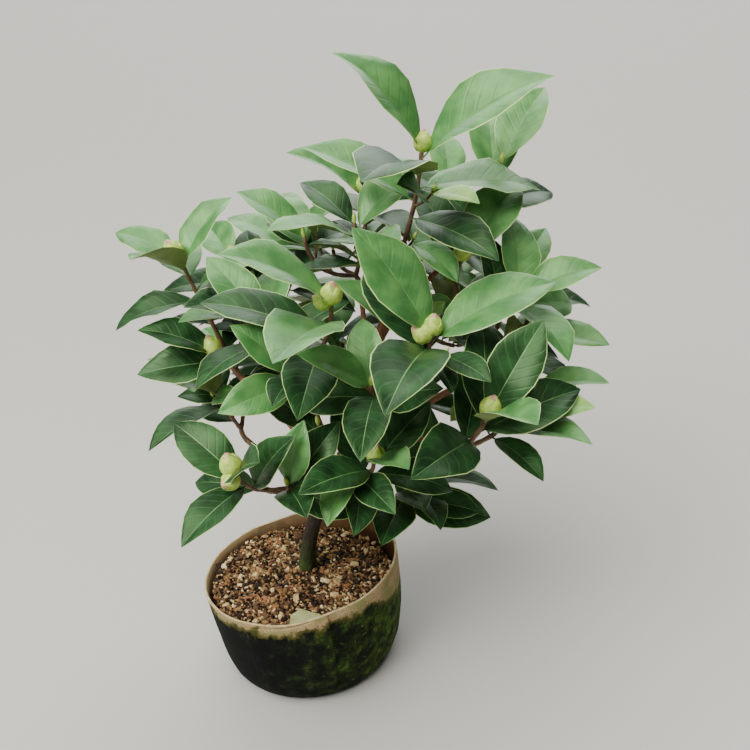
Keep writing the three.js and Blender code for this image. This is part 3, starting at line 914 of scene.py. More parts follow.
SPRAYS = (
    Spray("spray_centre_right", "bough_centre_right", (
        Shoot((125, -62, 388), 156, -1, 4, 130, 2, erect=-6),
        Shoot((74, -74, 346), 205, -1, 5, 84),
        Shoot((112, 0, 372), 250, 1, 5, 92),
    )),
    Spray("spray_centre", "bough_centre", (
        Shoot((40, -54, 414), 202, 1, 7, 130, 2, erect=4, fallen=2),
        Shoot((-22, -24, 386), 180, 1, 6, 90, 1),
        Shoot((8, -64, 352), 160, 1, 5, 84),
    )),
    Spray("spray_front_right", "bough_front_right", (
        Shoot((170, -98, 330), 62, -1, 7, 108, 1, erect=14),
        Shoot((196, -52, 306), 330, -1, 5, 90),
    )),
    Spray("spray_top", "bough_leader", (
        Shoot((117, 20, 524), 199, 1, 7, 134, 1, erect=7, fallen=2),
        Shoot((58, 52, 452), 140, -1, 6, 96),
    )),
    Spray("spray_upper_right", "bough_upper_right", (
        Shoot((152, 8, 432), 30, 1, 7, 112, 1),
        Shoot((206, -6, 404), 350, 1, 5, 88),
    )),
    Spray("spray_top_right", "bough_top_right", (
        Shoot((192, 66, 504), 48, 1, 7, 108, erect=12),
        Shoot((150, 118, 470), 95, -1, 6, 98, 1),
    )),
    Spray("spray_front_left", "bough_front_left", (
        Shoot((-42, -104, 278), 195, 1, 6, 84, 2, erect=12),
        Shoot((2, -98, 262), 32, -1, 4, 80, erect=16),
    )),
    Spray("spray_left", "bough_left", (
        Shoot((-104, 36, 424), 160, -1, 7, 94, 1),
        Shoot((-70, 0, 344), 165, 1, 6, 86, 1),
        Shoot((-36, 40, 400), 80, 1, 5, 92),
    )),
    Spray("spray_right", "bough_right", (
        Shoot((222, 30, 366), 15, 1, 7, 88, 1),
        Shoot((214, 84, 384), 60, -1, 6, 92),
        Shoot((222, -22, 322), 330, 1, 5, 84),
    )),
    Spray("spray_low_front", "bough_low_front", (
        Shoot((76, -96, 286), 300, 1, 6, 82, 1),
        Shoot((28, -70, 306), 205, 1, 6, 80),
    )),
    Spray("spray_low_right", "bough_low_right", (
        Shoot((106, -48, 226), 290, 1, 6, 88),
        Shoot((126, 4, 224), 350, -1, 6, 84),
    )),
    Spray("spray_back", "bough_back", (
        Shoot((68, 136, 462), 80, 1, 7, 102, 1),
        Shoot((10, 62, 436), 190, 1, 6, 92),
        Shoot((34, 126, 404), 100, -1, 6, 88),
    )),
    Spray("spray_back_left", "bough_back_left", (
        Shoot((-64, 106, 398), 140, 1, 7, 98, 1),
        Shoot((-6, 128, 420), 95, -1, 7, 100, 2),
        Shoot((-36, 138, 350), 130, 1, 6, 90),
    )),
    Spray("spray_back_right", "bough_back_right", (
        Shoot((158, 150, 362), 60, 1, 7, 100, 2),
        Shoot((96, 156, 350), 110, -1, 7, 96, 1),
        Shoot((122, 142, 418), 70, -1, 6, 90),
        Shoot((178, 112, 316), 30, 1, 6, 86),
    )),
    Spray("spray_low_back", "bough_low_back", (
        Shoot((68, 122, 272), 75, 1, 6, 92),
        Shoot((4, 126, 280), 120, -1, 6, 90, 1),
        Shoot((124, 96, 262), 40, -1, 6, 86),
        Shoot((40, 150, 306), 85, 1, 6, 84),
    )),
    Spray("spray_low_left", "bough_low_left", (
        Shoot((-88, 56, 280), 170, 1, 6, 92, 1),
        Shoot((-72, 100, 290), 130, -1, 5, 86),
    )),
)
SPRAY_NAMES = tuple(spray.name for spray in SPRAYS)


class Draw(IntEnum):
    """What a draw of chance settles. Those of a leaf or a bud have its number added."""

    SCALES = 7
    LENGTH = 40
    ARCH = 50
    FOLD = 60
    PHASE = 70
    WAVES = 71
    DROOP = 72
    RIPPLE = 73
    VALLEY = 74
    TONE = 75
    BUD_SIZE = 80
    BUD_TURN = 90


@dataclass
class Leaf:
    """One leaf's place and form, by the same rule as the solids."""

    spray: str
    foot: Array
    way: Array
    normal: Array
    length: float
    arch: float
    fold: float
    seed: int
    width: float = 0.47
    root_half: float = 0.9
    blade_from: float = 0.28
    side: Array = field(init=False)
    middle: Array = field(init=False)
    whole: Array = field(init=False)
    blade: Array = field(init=False)
    low: Array = field(init=False)
    high: Array = field(init=False)

    def __post_init__(self) -> None:
        """Works out the leaf's side, its middle and the places that must stay free."""
        self.side = np.cross(self.way, self.normal)
        self.middle = self.points(np.array([0.6]), np.array([0.0]))[0]
        self.whole = self.places(0.0)
        self.blade = self.places(self.blade_from)
        self.low, self.high = self.whole.min(axis=0), self.whole.max(axis=0)

    def half_width(self, s: Array) -> Array:
        """Returns half of the solid leaf's width at shares of its length."""
        outline = np.clip(np.sin(math.pi * np.clip(s, 0, 1) ** 0.92), 0, None) ** 0.85
        return np.maximum(self.length * self.width * outline / 2, (1 - s) * self.root_half)

    def points(self, s: Array, c: Array, lift: Array | float = 0.0, half: Array | None = None) -> Array:
        """Works out places on the leaf.

        Args:
            s: Shares of the way along it.
            c: Shares of the half width, from -1 to 1.
            lift: Heights above its surface.
            half: Half widths to use in place of the solid leaf's.

        Returns:
            One place for each share.
        """
        turn = self.arch * s
        wide = c * (self.half_width(s) if half is None else half)
        rise = np.abs(wide) * math.sin(self.fold) + lift
        return (
            self.foot
            + np.outer(self.length * np.sin(turn) / self.arch, self.way)
            - np.outer(self.length * (1 - np.cos(turn)) / self.arch, self.normal)
            + np.outer(wide * math.cos(self.fold), self.side)
            + towards(self.normal, self.way, turn) * rise[:, None]
        )

    def places(self, start: float, rows: int = 15, columns: int = 8) -> Array:
        """Returns places all over the leaf, from a share of its length to its tip."""
        s = np.repeat(start + (1 - start) * np.arange(rows) / (rows - 1), columns)
        return self.points(s, np.tile(-1 + 2 * np.arange(columns) / (columns - 1), rows))


@dataclass(frozen=True)
class LeafCut:
    """The cut of a finished leaf: rows from stalk to tip, with its margin and midrib as strips.

    The columns run over the leaf from margin to margin, and the last one under its midrib.
    """

    rows: tuple[float, ...] = (0.0, 0.07, 0.12, 0.21, 0.33, 0.46, 0.6, 0.73, 0.84, 0.93)
    columns: tuple[float, ...] = (-1, -0.965, -0.5, -0.018, 0.018, 0.5, 0.965, 1, 0)
    stalk: float = 0.075
    stalk_half: float = 1.0
    stalk_thick: float = 1.9
    blade_thick: float = 0.5
    rib: float = 0.7
    groove: float = 0.3
    bulge: float = 0.085
    ripple: float = 0.08
    valley: float = 0.14
    curl: float = 0.2
    curl_from: float = 0.68

    def half_width(self, leaf: Leaf, s: Array) -> Array:
        """Works out the outline: a slim stalk, a full blade and a drawn-out tip.

        Args:
            leaf: The leaf.
            s: Shares of its length.

        Returns:
            Half widths in millimetres.
        """
        blade = np.clip((s - self.stalk) / (1 - self.stalk), 0, 1)
        outline = np.clip(np.sin(math.pi * blade**0.9), 0, None) ** 0.78
        drawn = 1 - 0.3 * np.clip((blade - 0.72) / 0.28, 0, 1) ** 1.5
        return np.maximum(leaf.length * leaf.width * outline * drawn / 2, self.stalk_half * (1 - s))

    def droop(self, leaf: Leaf, s: Array) -> Array:
        """Returns how far the tip end curls down at shares of the length."""
        past = np.clip(s - self.curl_from, 0, None)
        return self.curl * leaf.length * past**1.3 * chance(leaf.seed, Draw.DROOP)

    def lift(self, leaf: Leaf, s: Array, c: Array, half: Array, under: Array) -> Array:
        """Works out how far the cut stands above a leaf's plain surface.

        Args:
            leaf: The leaf.
            s: Shares of the way along it.
            c: Shares of the half width, from -1 to 1.
            half: The half widths.
            under: Whether each place is on its underside.

        Returns:
            One height for each share.
        """
        stalk = np.clip(1 - s / self.stalk, 0, 1)
        thick = self.blade_thick + (self.stalk_thick - self.blade_thick) * stalk
        body = thick / 2 * np.sqrt(np.clip(1 - c**2, 0, None))
        rib = self.rib * (1 - s) * (1 - stalk)
        groove = np.where(np.abs(c) < 0.1, -self.groove * (1 - stalk), 0.0)
        bulge = self.bulge * half * (1 - (2 * np.abs(c) - 1) ** 2) * (1 - stalk)
        waves = 1.2 + 0.9 * chance(leaf.seed, Draw.WAVES)
        phase = ROUND * chance(leaf.seed, Draw.PHASE) + 1.3 * np.sign(c)
        ripple = self.ripple * (0.3 + 1.4 * chance(leaf.seed, Draw.RIPPLE))
        wavy = ripple * half * c**2 * np.sin(ROUND * waves * s + phase)
        valley = self.valley * chance(leaf.seed, Draw.VALLEY) * half * np.abs(c) * (1 - stalk)
        skin = np.where(under, -body - rib, body + groove)
        return skin + bulge + wavy + valley - self.droop(leaf, s)

    def add_to(self, work: Patchwork, leaf: Leaf, tone: LeafSlot) -> None:
        """Cuts one leaf and adds it to a piece.

        Args:
            work: The piece.
            leaf: The leaf.
            tone: The green of its blade.
        """
        height, width = len(self.rows), len(self.columns)
        s = np.repeat(self.rows, width)
        c = np.tile(self.columns, height)
        half = self.half_width(leaf, s)
        under = np.tile(np.arange(width) == width - 1, height)
        grid = leaf.points(s, c, self.lift(leaf, s, c, half, under), half)
        end = np.ones(1)
        tip = leaf.points(end, np.zeros(1), -self.droop(leaf, end), np.zeros(1))
        marks = np.vstack((np.column_stack(((c + 1) / 2, s)), [[0.5, 1.0]]))
        work.add(np.vstack((grid, tip)), *self.faces(tone), marks)

    def faces(self, tone: LeafSlot) -> tuple[Faces, list[LeafSlot]]:
        """Lists the leaf's faces.

        Args:
            tone: The green of its blade.

        Returns:
            The faces and the slot of each.
        """
        height, width = len(self.rows), len(self.columns)
        half = (LeafSlot.RIM, tone, tone)
        slots = [*half, LeafSlot.RIB, *reversed(half), LeafSlot.UNDER, LeafSlot.UNDER] * height
        faces = quads(height, width) + fan((height - 1) * width, width, height * width)
        for i, slot in enumerate(slots):
            if slot == LeafSlot.UNDER:
                # A patch of the underside folds along its other diagonal.
                faces[i] = faces[i][1:] + faces[i][:1]
        cap = (*reversed(range(width - 1)), width - 1)
        return [*faces, cap], [*slots, LeafSlot.RIB]


@dataclass
class Bud:
    """A plump flower bud or a slim leaf bud."""

    foot: Array
    along: Array
    radius: float
    length: float
    seed: int


@dataclass
class Plant:
    """One shoot as it has grown: its twig, buds and leaves."""

    spray: str
    shoot: Shoot
    twig: Limb
    number: int
    buds: list[Bud] = field(default_factory=list)
    leaves: list[Leaf] = field(default_factory=list)


@dataclass
class Crown:
    """The foliage: sprays of twigs, leaves and buds that grow on from the boughs."""

    wood: Wood
    gap: float = 0.3
    stem_share: float = 0.3
    stem_radius: float = 2.9
    tip_radius: float = 1.9
    pull_share: float = 0.5
    middle: tuple[float, float] = (84, 10)
    spread: float = 170
    low: float = 230
    high: float = 520
    low_lean: float = 0.5
    high_lean: float = 0.3
    spiral: float = 137.5
    spiral_jitter: float = 8
    first_drop: float = 3
    drop: float = 5.5
    drop_growth: float = 1.22
    rise_tip: float = 56
    rise_jitter: float = 8
    least_rise: float = 0.08
    roll: float = 12
    arch: float = 34
    fold: float = 11
    sizes: tuple[float, ...] = (0.86, 0.97, 1, 0.98, 0.94, 0.88, 0.8)
    leaf_numbers: int = 20
    bud_radius: float = 8.6
    bud_length: float = 22
    bud_lean: float = 62
    bud_sunk: float = 2.5
    leaf_room: float = 5
    limb_room: float = 3.6
    post_gap: float = 4
    bud_room: float = 2.5
    rim_top: float = 119.5
    turns: tuple[float, ...] = (0, 14, -14, 28, -28, 42, -42)
    shrinks: tuple[float, ...] = (1, 0.86, 0.72)
    ring_gap: float = 4
    ring_swell: float = 0.09
    twig_sides: int = 8
    side_sites: tuple[float, ...] = (0.3, 0.62)
    side_out: float = 20
    side_up: float = 10
    side_pull: float = 12
    side_leaves: int = 4
    side_length: float = 66
    side_radii: tuple[float, float] = (1.5, 1.1)
    side_slack: float = 2
    age_step: float = 0.12
    fresh_share: float = 0.07
    full_share: float = 0.3
    # The gain, height and depth below give outer leaves the full green as painted light and low leaves
    # the deep green as painted shade.
    outer_painted_light_gain: float = 0.5
    painted_shade_height: float = 350
    painted_shade_depth: float = 330
    plants: list[Plant] = field(default_factory=list)
    stems: list[Limb] = field(default_factory=list)
    leaves: list[Leaf] = field(default_factory=list)
    posts: list[tuple[Array, float, str]] = field(default_factory=list)
    room: tuple[Array, ...] = ()

    def shoot_way(self, tip: Array) -> Array:
        """Works out the way a shoot points: up and outwards, more so low down and far out.

        Args:
            tip: The shoot's tip.

        Returns:
            The direction.
        """
        out = np.array([tip[0] - self.middle[0], tip[1] - self.middle[1], 0.0]) / self.spread
        height = clamp((tip[2] - self.low) / (self.high - self.low))
        return unit(out * (self.low_lean + (self.high_lean - self.low_lean) * height) + UP)

    def add_posts(self, limb: Limb, spray: str) -> None:
        """Notes places along a limb that leaves keep clear of.

        Args:
            limb: The limb.
            spray: The spray that it belongs to.
        """
        count = math.ceil(limb.curve.length() / self.post_gap)
        for i in range(count + 1):
            t = i / count
            self.posts.append((limb.curve.point(t), limb.radius(t) + self.limb_room, spray))

    def grow_twigs(self, spray: Spray) -> tuple[Limb, list[Limb]]:
        """Grows a spray's stem and the twigs to its shoots.

        Args:
            spray: The spray.

        Returns:
            The stem, and one twig for each shoot.
        """
        bough = self.wood.limbs[spray.bough].curve
        way = bough.along(1)
        foot = bough.point(1) + way * self.gap
        tips = [np.array(shoot.tip, float) for shoot in spray.shoots]
        middle = sum(tips) / len(tips)
        reach = math.dist(middle, foot) * self.stem_share
        straight = foot + way * reach * 0.6
        fork = (straight + foot + (middle - foot) * self.stem_share) / 2
        fork_radius = (self.stem_radius + self.tip_radius) / 2
        stem = Limb(Bend(foot, foot + way * reach / 2, fork), self.stem_radius, fork_radius)
        twigs = []
        for tip in tips:
            bend = tip - self.shoot_way(tip) * math.dist(tip, fork) * self.pull_share
            twigs.append(Limb(Bend(fork, bend, tip), fork_radius, self.tip_radius))
        return stem, twigs

    def grow_buds(self, plant: Plant) -> None:
        """Sets a shoot's flower buds: the first stands upright, the second leans out beside it.

        Args:
            plant: The shoot.
        """
        way = plant.twig.curve.along(1)
        for k in range(plant.shoot.buds):
            turn = math.radians(plant.shoot.first + 70 + 360 * chance(plant.number, Draw.BUD_TURN + k))
            side = towards(*across(way), turn)
            along = towards(way, side, math.radians(self.bud_lean * (0.2 if k == 0 else 1)))
            size = 1 + 0.12 * sway(plant.number, Draw.BUD_SIZE + k) - 0.1 * k
            foot = plant.twig.curve.point(1) - way * self.bud_sunk * (1 + k)
            length = self.bud_length * size
            plant.buds.append(Bud(foot, along, self.bud_radius * size, length, 10 * plant.number + k))
            self.posts.append((foot + along * length / 2, length / 2 + self.bud_room, plant.spray))

    def shape_leaf(self, plant: Plant, k: int, turn: float, shrink: float) -> Leaf | None:
        """Shapes a leaf of a shoot.

        Args:
            plant: The shoot.
            k: The leaf's number from the tip.
            turn: Degrees to turn it round the twig.
            shrink: A share of its full size.

        Returns:
            The leaf, or nothing where the twig is too short for it.
        """
        shoot, twig, number = plant.shoot, plant.twig, plant.number
        drop = self.first_drop + sum(self.drop * self.drop_growth**i for i in range(k))
        t = 1 - drop / twig.curve.length()
        if t < 0.05:
            return None
        along = twig.curve.along(t)
        spin = shoot.turn * self.spiral * k + self.spiral_jitter * sway(number, 3 * k)
        out = towards(*across(along), math.radians(shoot.first + spin + turn))
        upright = self.rise_tip + shoot.erect - shoot.fall * k
        rise = math.radians(upright + self.rise_jitter * sway(number, 3 * k + 1))
        way = towards(out, along, rise)
        way[2] = max(way[2], self.least_rise)
        way = unit(way)
        light = unit(along + LIGHT)
        normal = unit(light - way * float(light @ way))
        roll = math.radians(self.roll * sway(number, 3 * k + 2))
        grown = shrink * (1 + 0.06 * sway(number, Draw.LENGTH + k))
        return Leaf(
            spray=plant.spray,
            foot=twig.curve.point(t),
            way=way,
            normal=towards(normal, np.cross(way, normal), roll),
            length=shoot.length * self.sizes[k] * grown,
            arch=math.radians(self.arch * (1 + 0.35 * sway(number, Draw.ARCH + k))),
            fold=math.radians(self.fold * (1 + 0.4 * sway(number, Draw.FOLD + k))),
            seed=self.leaf_numbers * number + k,
        )

    def is_free(self, leaf: Leaf) -> bool:
        """Says whether a leaf keeps its room from leaves, limbs and buds that are already there.

        Args:
            leaf: The leaf.

        Returns:
            Whether it does.
        """
        if leaf.whole[:, 2].min() < self.rim_top + self.leaf_room:
            return False
        centres, rooms, owners = self.room
        near = np.linalg.norm(centres - leaf.middle, axis=1) < leaf.length * 0.75 + rooms
        own = owners == leaf.spray
        for mine, chosen in ((leaf.blade, near & own), (leaf.whole, near & ~own)):
            if (nearest(centres[chosen], mine) < rooms[chosen]).any():
                return False
        for other in self.leaves:
            apart = np.maximum(other.low - leaf.high, leaf.low - other.high)
            if apart.max() >= self.leaf_room:
                continue
            same = other.spray == leaf.spray
            mine, theirs = (leaf.blade, other.blade) if same else (leaf.whole, other.whole)
            if nearest(mine, theirs).min() < self.leaf_room:
                return False
        return True

    def grow_leaves(self, plant: Plant) -> None:
        """Gives a shoot its leaves: each takes the first turn that leaves it room, or is left out.

        Args:
            plant: The shoot.
        """
        tries = [(turn, shrink) for shrink in self.shrinks for turn in self.turns]
        for k in range(plant.shoot.leaves):
            if k == plant.shoot.fallen:
                continue
            for turn, shrink in tries:
                leaf = self.shape_leaf(plant, k, turn, shrink)
                if leaf is not None and self.is_free(leaf):
                    self.leaves.append(leaf)
                    plant.leaves.append(leaf)
                    break

    def grow(self) -> None:
        """Grows all sprays by the rule of the solids, then their finer side shoots."""
        for limb in self.wood.limbs.values():
            self.add_posts(limb, "limbs")
        for spray in SPRAYS:
            stem, twigs = self.grow_twigs(spray)
            self.stems.append(stem)
            for limb in (stem, *twigs):
                self.add_posts(limb, spray.name)
            for shoot, twig in zip(spray.shoots, twigs):
                plant = Plant(spray.name, shoot, twig, len(self.plants) + 1)
                self.plants.append(plant)
                self.grow_buds(plant)
        self.room = tuple(np.array(column) for column in zip(*self.posts))
        for plant in self.plants:
            self.grow_leaves(plant)
        LOG.info("crown: %d leaves by the rule of the solids", len(self.leaves))
        self.grow_side_shoots()

    def grow_side_shoots(self) -> None:
        """Grows small side shoots where a twig is bare, within the reach of its spray's solid."""
        for plant in tuple(self.plants):
            low, high = (np.array(corner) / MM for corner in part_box(plant.spray))
            low, high = low - self.side_slack, high + self.side_slack
            for i, site in enumerate(self.side_sites):
                number = 100 + 2 * plant.number + i
                foot, along = plant.twig.curve.point(site), plant.twig.curve.along(site)
                out = unit(towards(*across(along), ROUND * chance(number, 1)) + along * 0.5)
                tip = foot + out * self.side_out + UP * self.side_up
                shoot = Shoot(
                    tuple(tip), 360 * chance(number, 2), 1, self.side_leaves, self.side_length,
                    erect=-12, fall=6,
                )
                twig = Limb(Bend(foot, foot + out * self.side_pull, tip), *self.side_radii)
                side = Plant(plant.spray, shoot, twig, number)
                kept = len(self.leaves)
                self.grow_leaves(side)
                inside = all((leaf.low > low).all() and (leaf.high < high).all() for leaf in side.leaves)
                if inside and len(side.leaves) >= 2:
                    self.plants.append(side)
                else:
                    del self.leaves[kept:]

    def tone(self, leaf: Leaf) -> LeafSlot:
        """Picks a leaf's green: old leaves are deep, and low and inner leaves are deep as painted shade;
        others full, a few fresh.

        Args:
            leaf: The leaf.

        Returns:
            The slot of its green.
        """
        age = leaf.seed % self.leaf_numbers
        draw = chance(leaf.seed, Draw.TONE) + self.age_step * age
        if draw < self.fresh_share:
            return LeafSlot.FRESH
        # Painted shade: leaves low in the crown and near its middle take the deep green, and outer ones
        # the full green as painted light.
        shade = (self.painted_shade_height - leaf.foot[2]) / self.painted_shade_depth
        out = math.dist(leaf.foot[:2], self.middle) / self.spread
        full = draw + shade < self.full_share + self.outer_painted_light_gain * out
        return LeafSlot.FULL if full else LeafSlot.DEEP

    def build_leaves(self) -> None:
        """Cuts each spray's leaves as one piece."""
        cut = LeafCut()
        for name in SPRAY_NAMES:
            work = Patchwork()
            for leaf in self.leaves:
                if leaf.spray == name:
                    cut.add_to(work, leaf, self.tone(leaf))
            work.build(name.replace("spray", "leaves"), LEAF_FINISHES, "foliage", [name])

    def build_twigs(self) -> None:
        """Makes all stems and twigs as one piece, with the slight swellings of old leaf scars."""
        work, sides = Patchwork(), self.twig_sides
        for limb in (*self.stems, *(plant.twig for plant in self.plants)):
            curve = limb.curve
            count = max(5, round(curve.length() / self.ring_gap))
            rings = []
            for i in range(count + 1):
                t = i / count
                centre = curve.point(t) + curve.along(t) * (-1.5 if i == 0 else 0)
                radius = limb.radius(t) * (1 + self.ring_swell * math.sin(2.1 * i))
                rings.append(centre + radius * ring(curve.along(t), sides))
            tip = curve.point(1) + curve.along(1) * limb.radius(1) * 0.8
            faces = quads(count + 1, sides) + fan(count * sides, sides, (count + 1) * sides)
            faces.append(tuple(reversed(range(sides))))
            work.add(np.vstack((*rings, tip)), faces, [0] * len(faces))
        work.build("twigs", [TWIG_BARK], "foliage", SPRAY_NAMES)


@dataclass
class BudWork:
    """The buds: a plump heart wrapped in overlapping downy scales, or a slim bare leaf bud."""

    crown: Crown
    profile: tuple[tuple[float, float], ...] = (
        (0.0, 0.0), (0.42, 0.05), (0.78, 0.18), (0.97, 0.36), (0.98, 0.5),
        (0.82, 0.68), (0.52, 0.84), (0.2, 0.95),
    )
    sides: int = 12
    heart_share: float = 0.95
    scales: int = 7
    scale_net: tuple[int, int] = (6, 7)
    scale_outer: float = 1.045
    scale_inner: float = 0.93
    scale_thick: float = 0.35
    leaf_bud_radius: float = 2.3
    leaf_bud_length: float = 12

    def heart(self, work: Patchwork, bud: Bud) -> None:
        """Turns a bud's heart, with its dried tip.

        Args:
            work: The piece.
            bud: The bud.
        """
        sides, rows = self.sides, len(self.profile) - 1
        way, out = bud.along * bud.length, ring(bud.along, sides) * bud.radius * self.heart_share
        rings = [bud.foot + way * high + out * wide for wide, high in self.profile[1:]]
        foot, tip = rows * sides, rows * sides + 1
        faces = [face[::-1] for face in fan(0, sides, foot)]
        faces += quads(rows, sides) + fan((rows - 1) * sides, sides, tip)
        slots = [0] * (rows - 1) * sides + [1] * 2 * sides
        work.add(np.vstack((*rings, bud.foot, bud.foot + way)), faces, slots)

    def scale(self, work: Patchwork, bud: Bud, number: int) -> None:
        """Wraps one scale round a bud's heart.

        Args:
            work: The piece.
            bud: The bud.
            number: The scale's number, from the lowest.
        """
        rows, columns = self.scale_net
        low = 0.02 + 0.045 * number
        tall = min(0.97, 0.42 + 0.1 * number) - low
        share = np.repeat(np.linspace(0, 1, rows), columns)
        c = np.tile(np.linspace(-1, 1, columns), rows)
        reach = 1.15 * np.sqrt(np.maximum(0.02, 1 - share**2.2))
        turn = 2.4 * number + 6 * chance(bud.seed, Draw.SCALES)
        out = towards(*across(bud.along), turn + c * reach)
        wide_at, high_at = zip(*self.profile)
        high = low + tall * share
        wide = bud.radius * np.interp(high, high_at, wide_at)
        spine = bud.foot + np.outer(bud.length * (high - 0.04 * c * c * tall), bud.along)
        outer = spine + out * (wide * self.scale_outer + self.scale_thick)[:, None]
        inner = spine + out * (wide * self.scale_inner)[:, None]
        size = rows * columns
        net = np.arange(size).reshape(rows, columns)
        rim = np.concatenate((net[0], net[1:, -1], net[-1, -2::-1], net[-2:0:-1, 0])).tolist()
        faces = quads(rows, columns, closed=False)
        faces += [tuple(size + i for i in (face[0], *face[:0:-1])) for face in faces]
        faces += [(b, a, size + a, size + b) for a, b in zip(rim, rim[1:] + rim[:1])]
        work.add(np.vstack((outer, inner)), faces, [0] * len(faces))

    def leaf_bud(self, plant: Plant) -> Bud:
        """Shapes the slim leaf bud on the tip of a shoot that has no flower bud.

        Args:
            plant: The shoot.

        Returns:
            The bud.
        """
        way = plant.twig.curve.along(1)
        size = 0.75 if plant.number > 100 else 1.0
        radius, length = self.leaf_bud_radius * size, self.leaf_bud_length * size
        return Bud(plant.twig.curve.point(1) - way, way, radius, length, plant.number)

    def build(self) -> None:
        """Makes all the buds as one piece."""
        work = Patchwork()
        for plant in self.crown.plants:
            for bud in plant.buds:
                self.heart(work, bud)
                for number in range(self.scales):
                    self.scale(work, bud, number)
            if not plant.buds:
                self.heart(work, self.leaf_bud(plant))
        work.build("buds", [BUD_SCALE, BUD_TIP], "foliage", SPRAY_NAMES)


# Bag and soil


@dataclass
class NurseryBag:
    """The bag: a rolled sheet of felted cloth whose ends overlap at the front."""

    rim_radius: float = 100
    rim_height: float = 106
    rim_slope: float = 13.5
    rim_high_side: float = -21
    squash: float = 0.03
    long_side: float = 50
    sag: float = 10
    wall: float = 2.2
    profile: tuple[tuple[float, float], ...] = (
        (0.74, 0.0), (0.81, 0.012), (0.868, 0.05), (0.905, 0.12), (0.938, 0.22), (0.96, 0.34),
        (0.976, 0.48), (0.987, 0.62), (0.993, 0.78), (0.997, 0.9), (1.0, 1.0),
    )
    sides: int = 96
    overlap_start: float = -118
    overlap_arc: float = 47
    overlap_foot: float = 14
    overlap_tops: tuple[float, float] = (-5, 2.5)
    flap_start: float = -92
    flap_arc: float = 18
    flap_peak: float = 0.4

    def plan(self, turn: float) -> float:
        """Returns how far the plan departs from round at a turn."""
        return 1 + self.squash * math.cos(2 * (turn - math.radians(self.long_side)))

    def rim(self, turn: float) -> float:
        """Returns the rim's height at a turn, with the small waves of a soft edge."""
        slope = self.rim_slope * math.cos(turn - math.radians(self.rim_high_side))
        return self.rim_height + slope + 0.9 * math.sin(5 * turn + 1) + 0.6 * math.sin(9 * turn)

    def drape(self, x: float, y: float, z: float) -> Vector:
        """Takes a place on a round, level bag to where the soft cloth lies.

        Args:
            x: The place on a round bag, in millimetres.
            y: The place on a round bag, in millimetres.
            z: Its height where the rim is level.

        Returns:
            The place in metres.
        """
        turn = math.atan2(y, x)
        share = z / self.rim_height
        dent = noise.noise(Vector((x * 0.022, y * 0.022, z * 0.03 + 5)))
        crease = noise.noise(Vector((x * 0.06, y * 0.06, z * 0.11)))
        slack = math.sin(math.pi * clamp(share) ** 0.8)
        grown = self.plan(turn) * (1 + (0.014 * dent + 0.007 * crease) * slack)
        sag = self.sag * (1 - share * share)
        return Vector((sag + x * grown, y * grown, share * self.rim(turn))) * MM

    def draw_on(self, radius: float, height: float) -> None:
        """Draws the picked ring of cloth on to a new radius and height.

        Args:
            radius: The ring's radius.
            height: Its height where the rim is level.
        """
        bag = bpy.context.object
        bpy.ops.object.mode_set(mode="OBJECT")
        chosen = [vertex for vertex in bag.data.vertices if vertex.select]
        was = sum((vertex.co for vertex in chosen), Vector()) / len(chosen)
        grow = radius * MM / (chosen[0].co - was).length
        bpy.ops.object.mode_set(mode="EDIT")
        bpy.ops.mesh.extrude_region_move(
            TRANSFORM_OT_translate={"value": (0, 0, height * MM - was.z)}
        )
        bpy.ops.transform.resize(value=(grow, grow, 1))

    def wall_piece(self) -> Piece:
        """Draws the bag's wall up from its floor, over the rim and down inside.

        Returns:
            The bag, still to be dressed.
        """
        rings = [(self.rim_radius * wide, self.rim_height * high) for wide, high in self.profile]
        lip = [
            (self.rim_radius - self.wall * 0.5, self.rim_height + 0.5),
            (self.rim_radius - self.wall, self.rim_height),
        ]
        inside = [(radius - self.wall, height) for radius, height in reversed(rings[5:-1])]
        circle_add = bpy.ops.mesh.primitive_circle_add
        bag = draft("bag", circle_add, vertices=self.sides, radius=rings[0][0] * MM, fill_type="NGON")
        open_faces()
        for radius, height in (*rings[1:], *lip, *inside):
            self.draw_on(radius, height)
        close_faces(bag, self.drape)
        return bag

    def overlap(self, along: float, up: float) -> Vector:
        """Places the cloth's outer end, which lies over its start and rises off the rim.

        Args:
            along: The share of its length round the bag.
            up: The share of its height.

        Returns:
            The place in metres.
        """
        turn = math.radians(self.overlap_start + self.overlap_arc * along)
        first, last = self.overlap_tops
        tall = self.rim_height + first + (last - first) * along - self.overlap_foot
        height = self.overlap_foot + tall * up
        wides, highs = zip(*self.profile)
        radius = self.rim_radius * float(np.interp(height / self.rim_height, highs, wides))
        radius += 0.7 + 1.3 * along + 0.5 * math.sin(7 * along + 3 * up)
        level = min(height, self.rim_height)
        return self.drape(*polar(radius, turn), level) + Vector((0, 0, (height - level) * MM))

    def flap(self, along: float, up: float) -> Vector:
        """Places a flap of the cloth's inner end, folded in over the soil.

        Args:
            along: The share of its length round the bag.
            up: The share of the way from its free edge out to the wall.

        Returns:
            The place in metres.
        """
        turn = math.radians(self.flap_start + self.flap_arc * along)
        shares = (0, self.flap_peak, 1)
        reach = float(np.interp(along, shares, (13, 15, 3)))
        rise = 1.5 + float(np.interp(along, shares, (0.5, 2.6, 0.0)))
        radius = self.rim_radius * self.plan(turn) - 2.8 - reach * (1 - up)
        height = self.rim(turn) - 2.2 + rise * (1 - up) + 0.8 * math.sin(5 * along + 2 * up)
        return Vector((*polar(radius, turn), height)) * MM

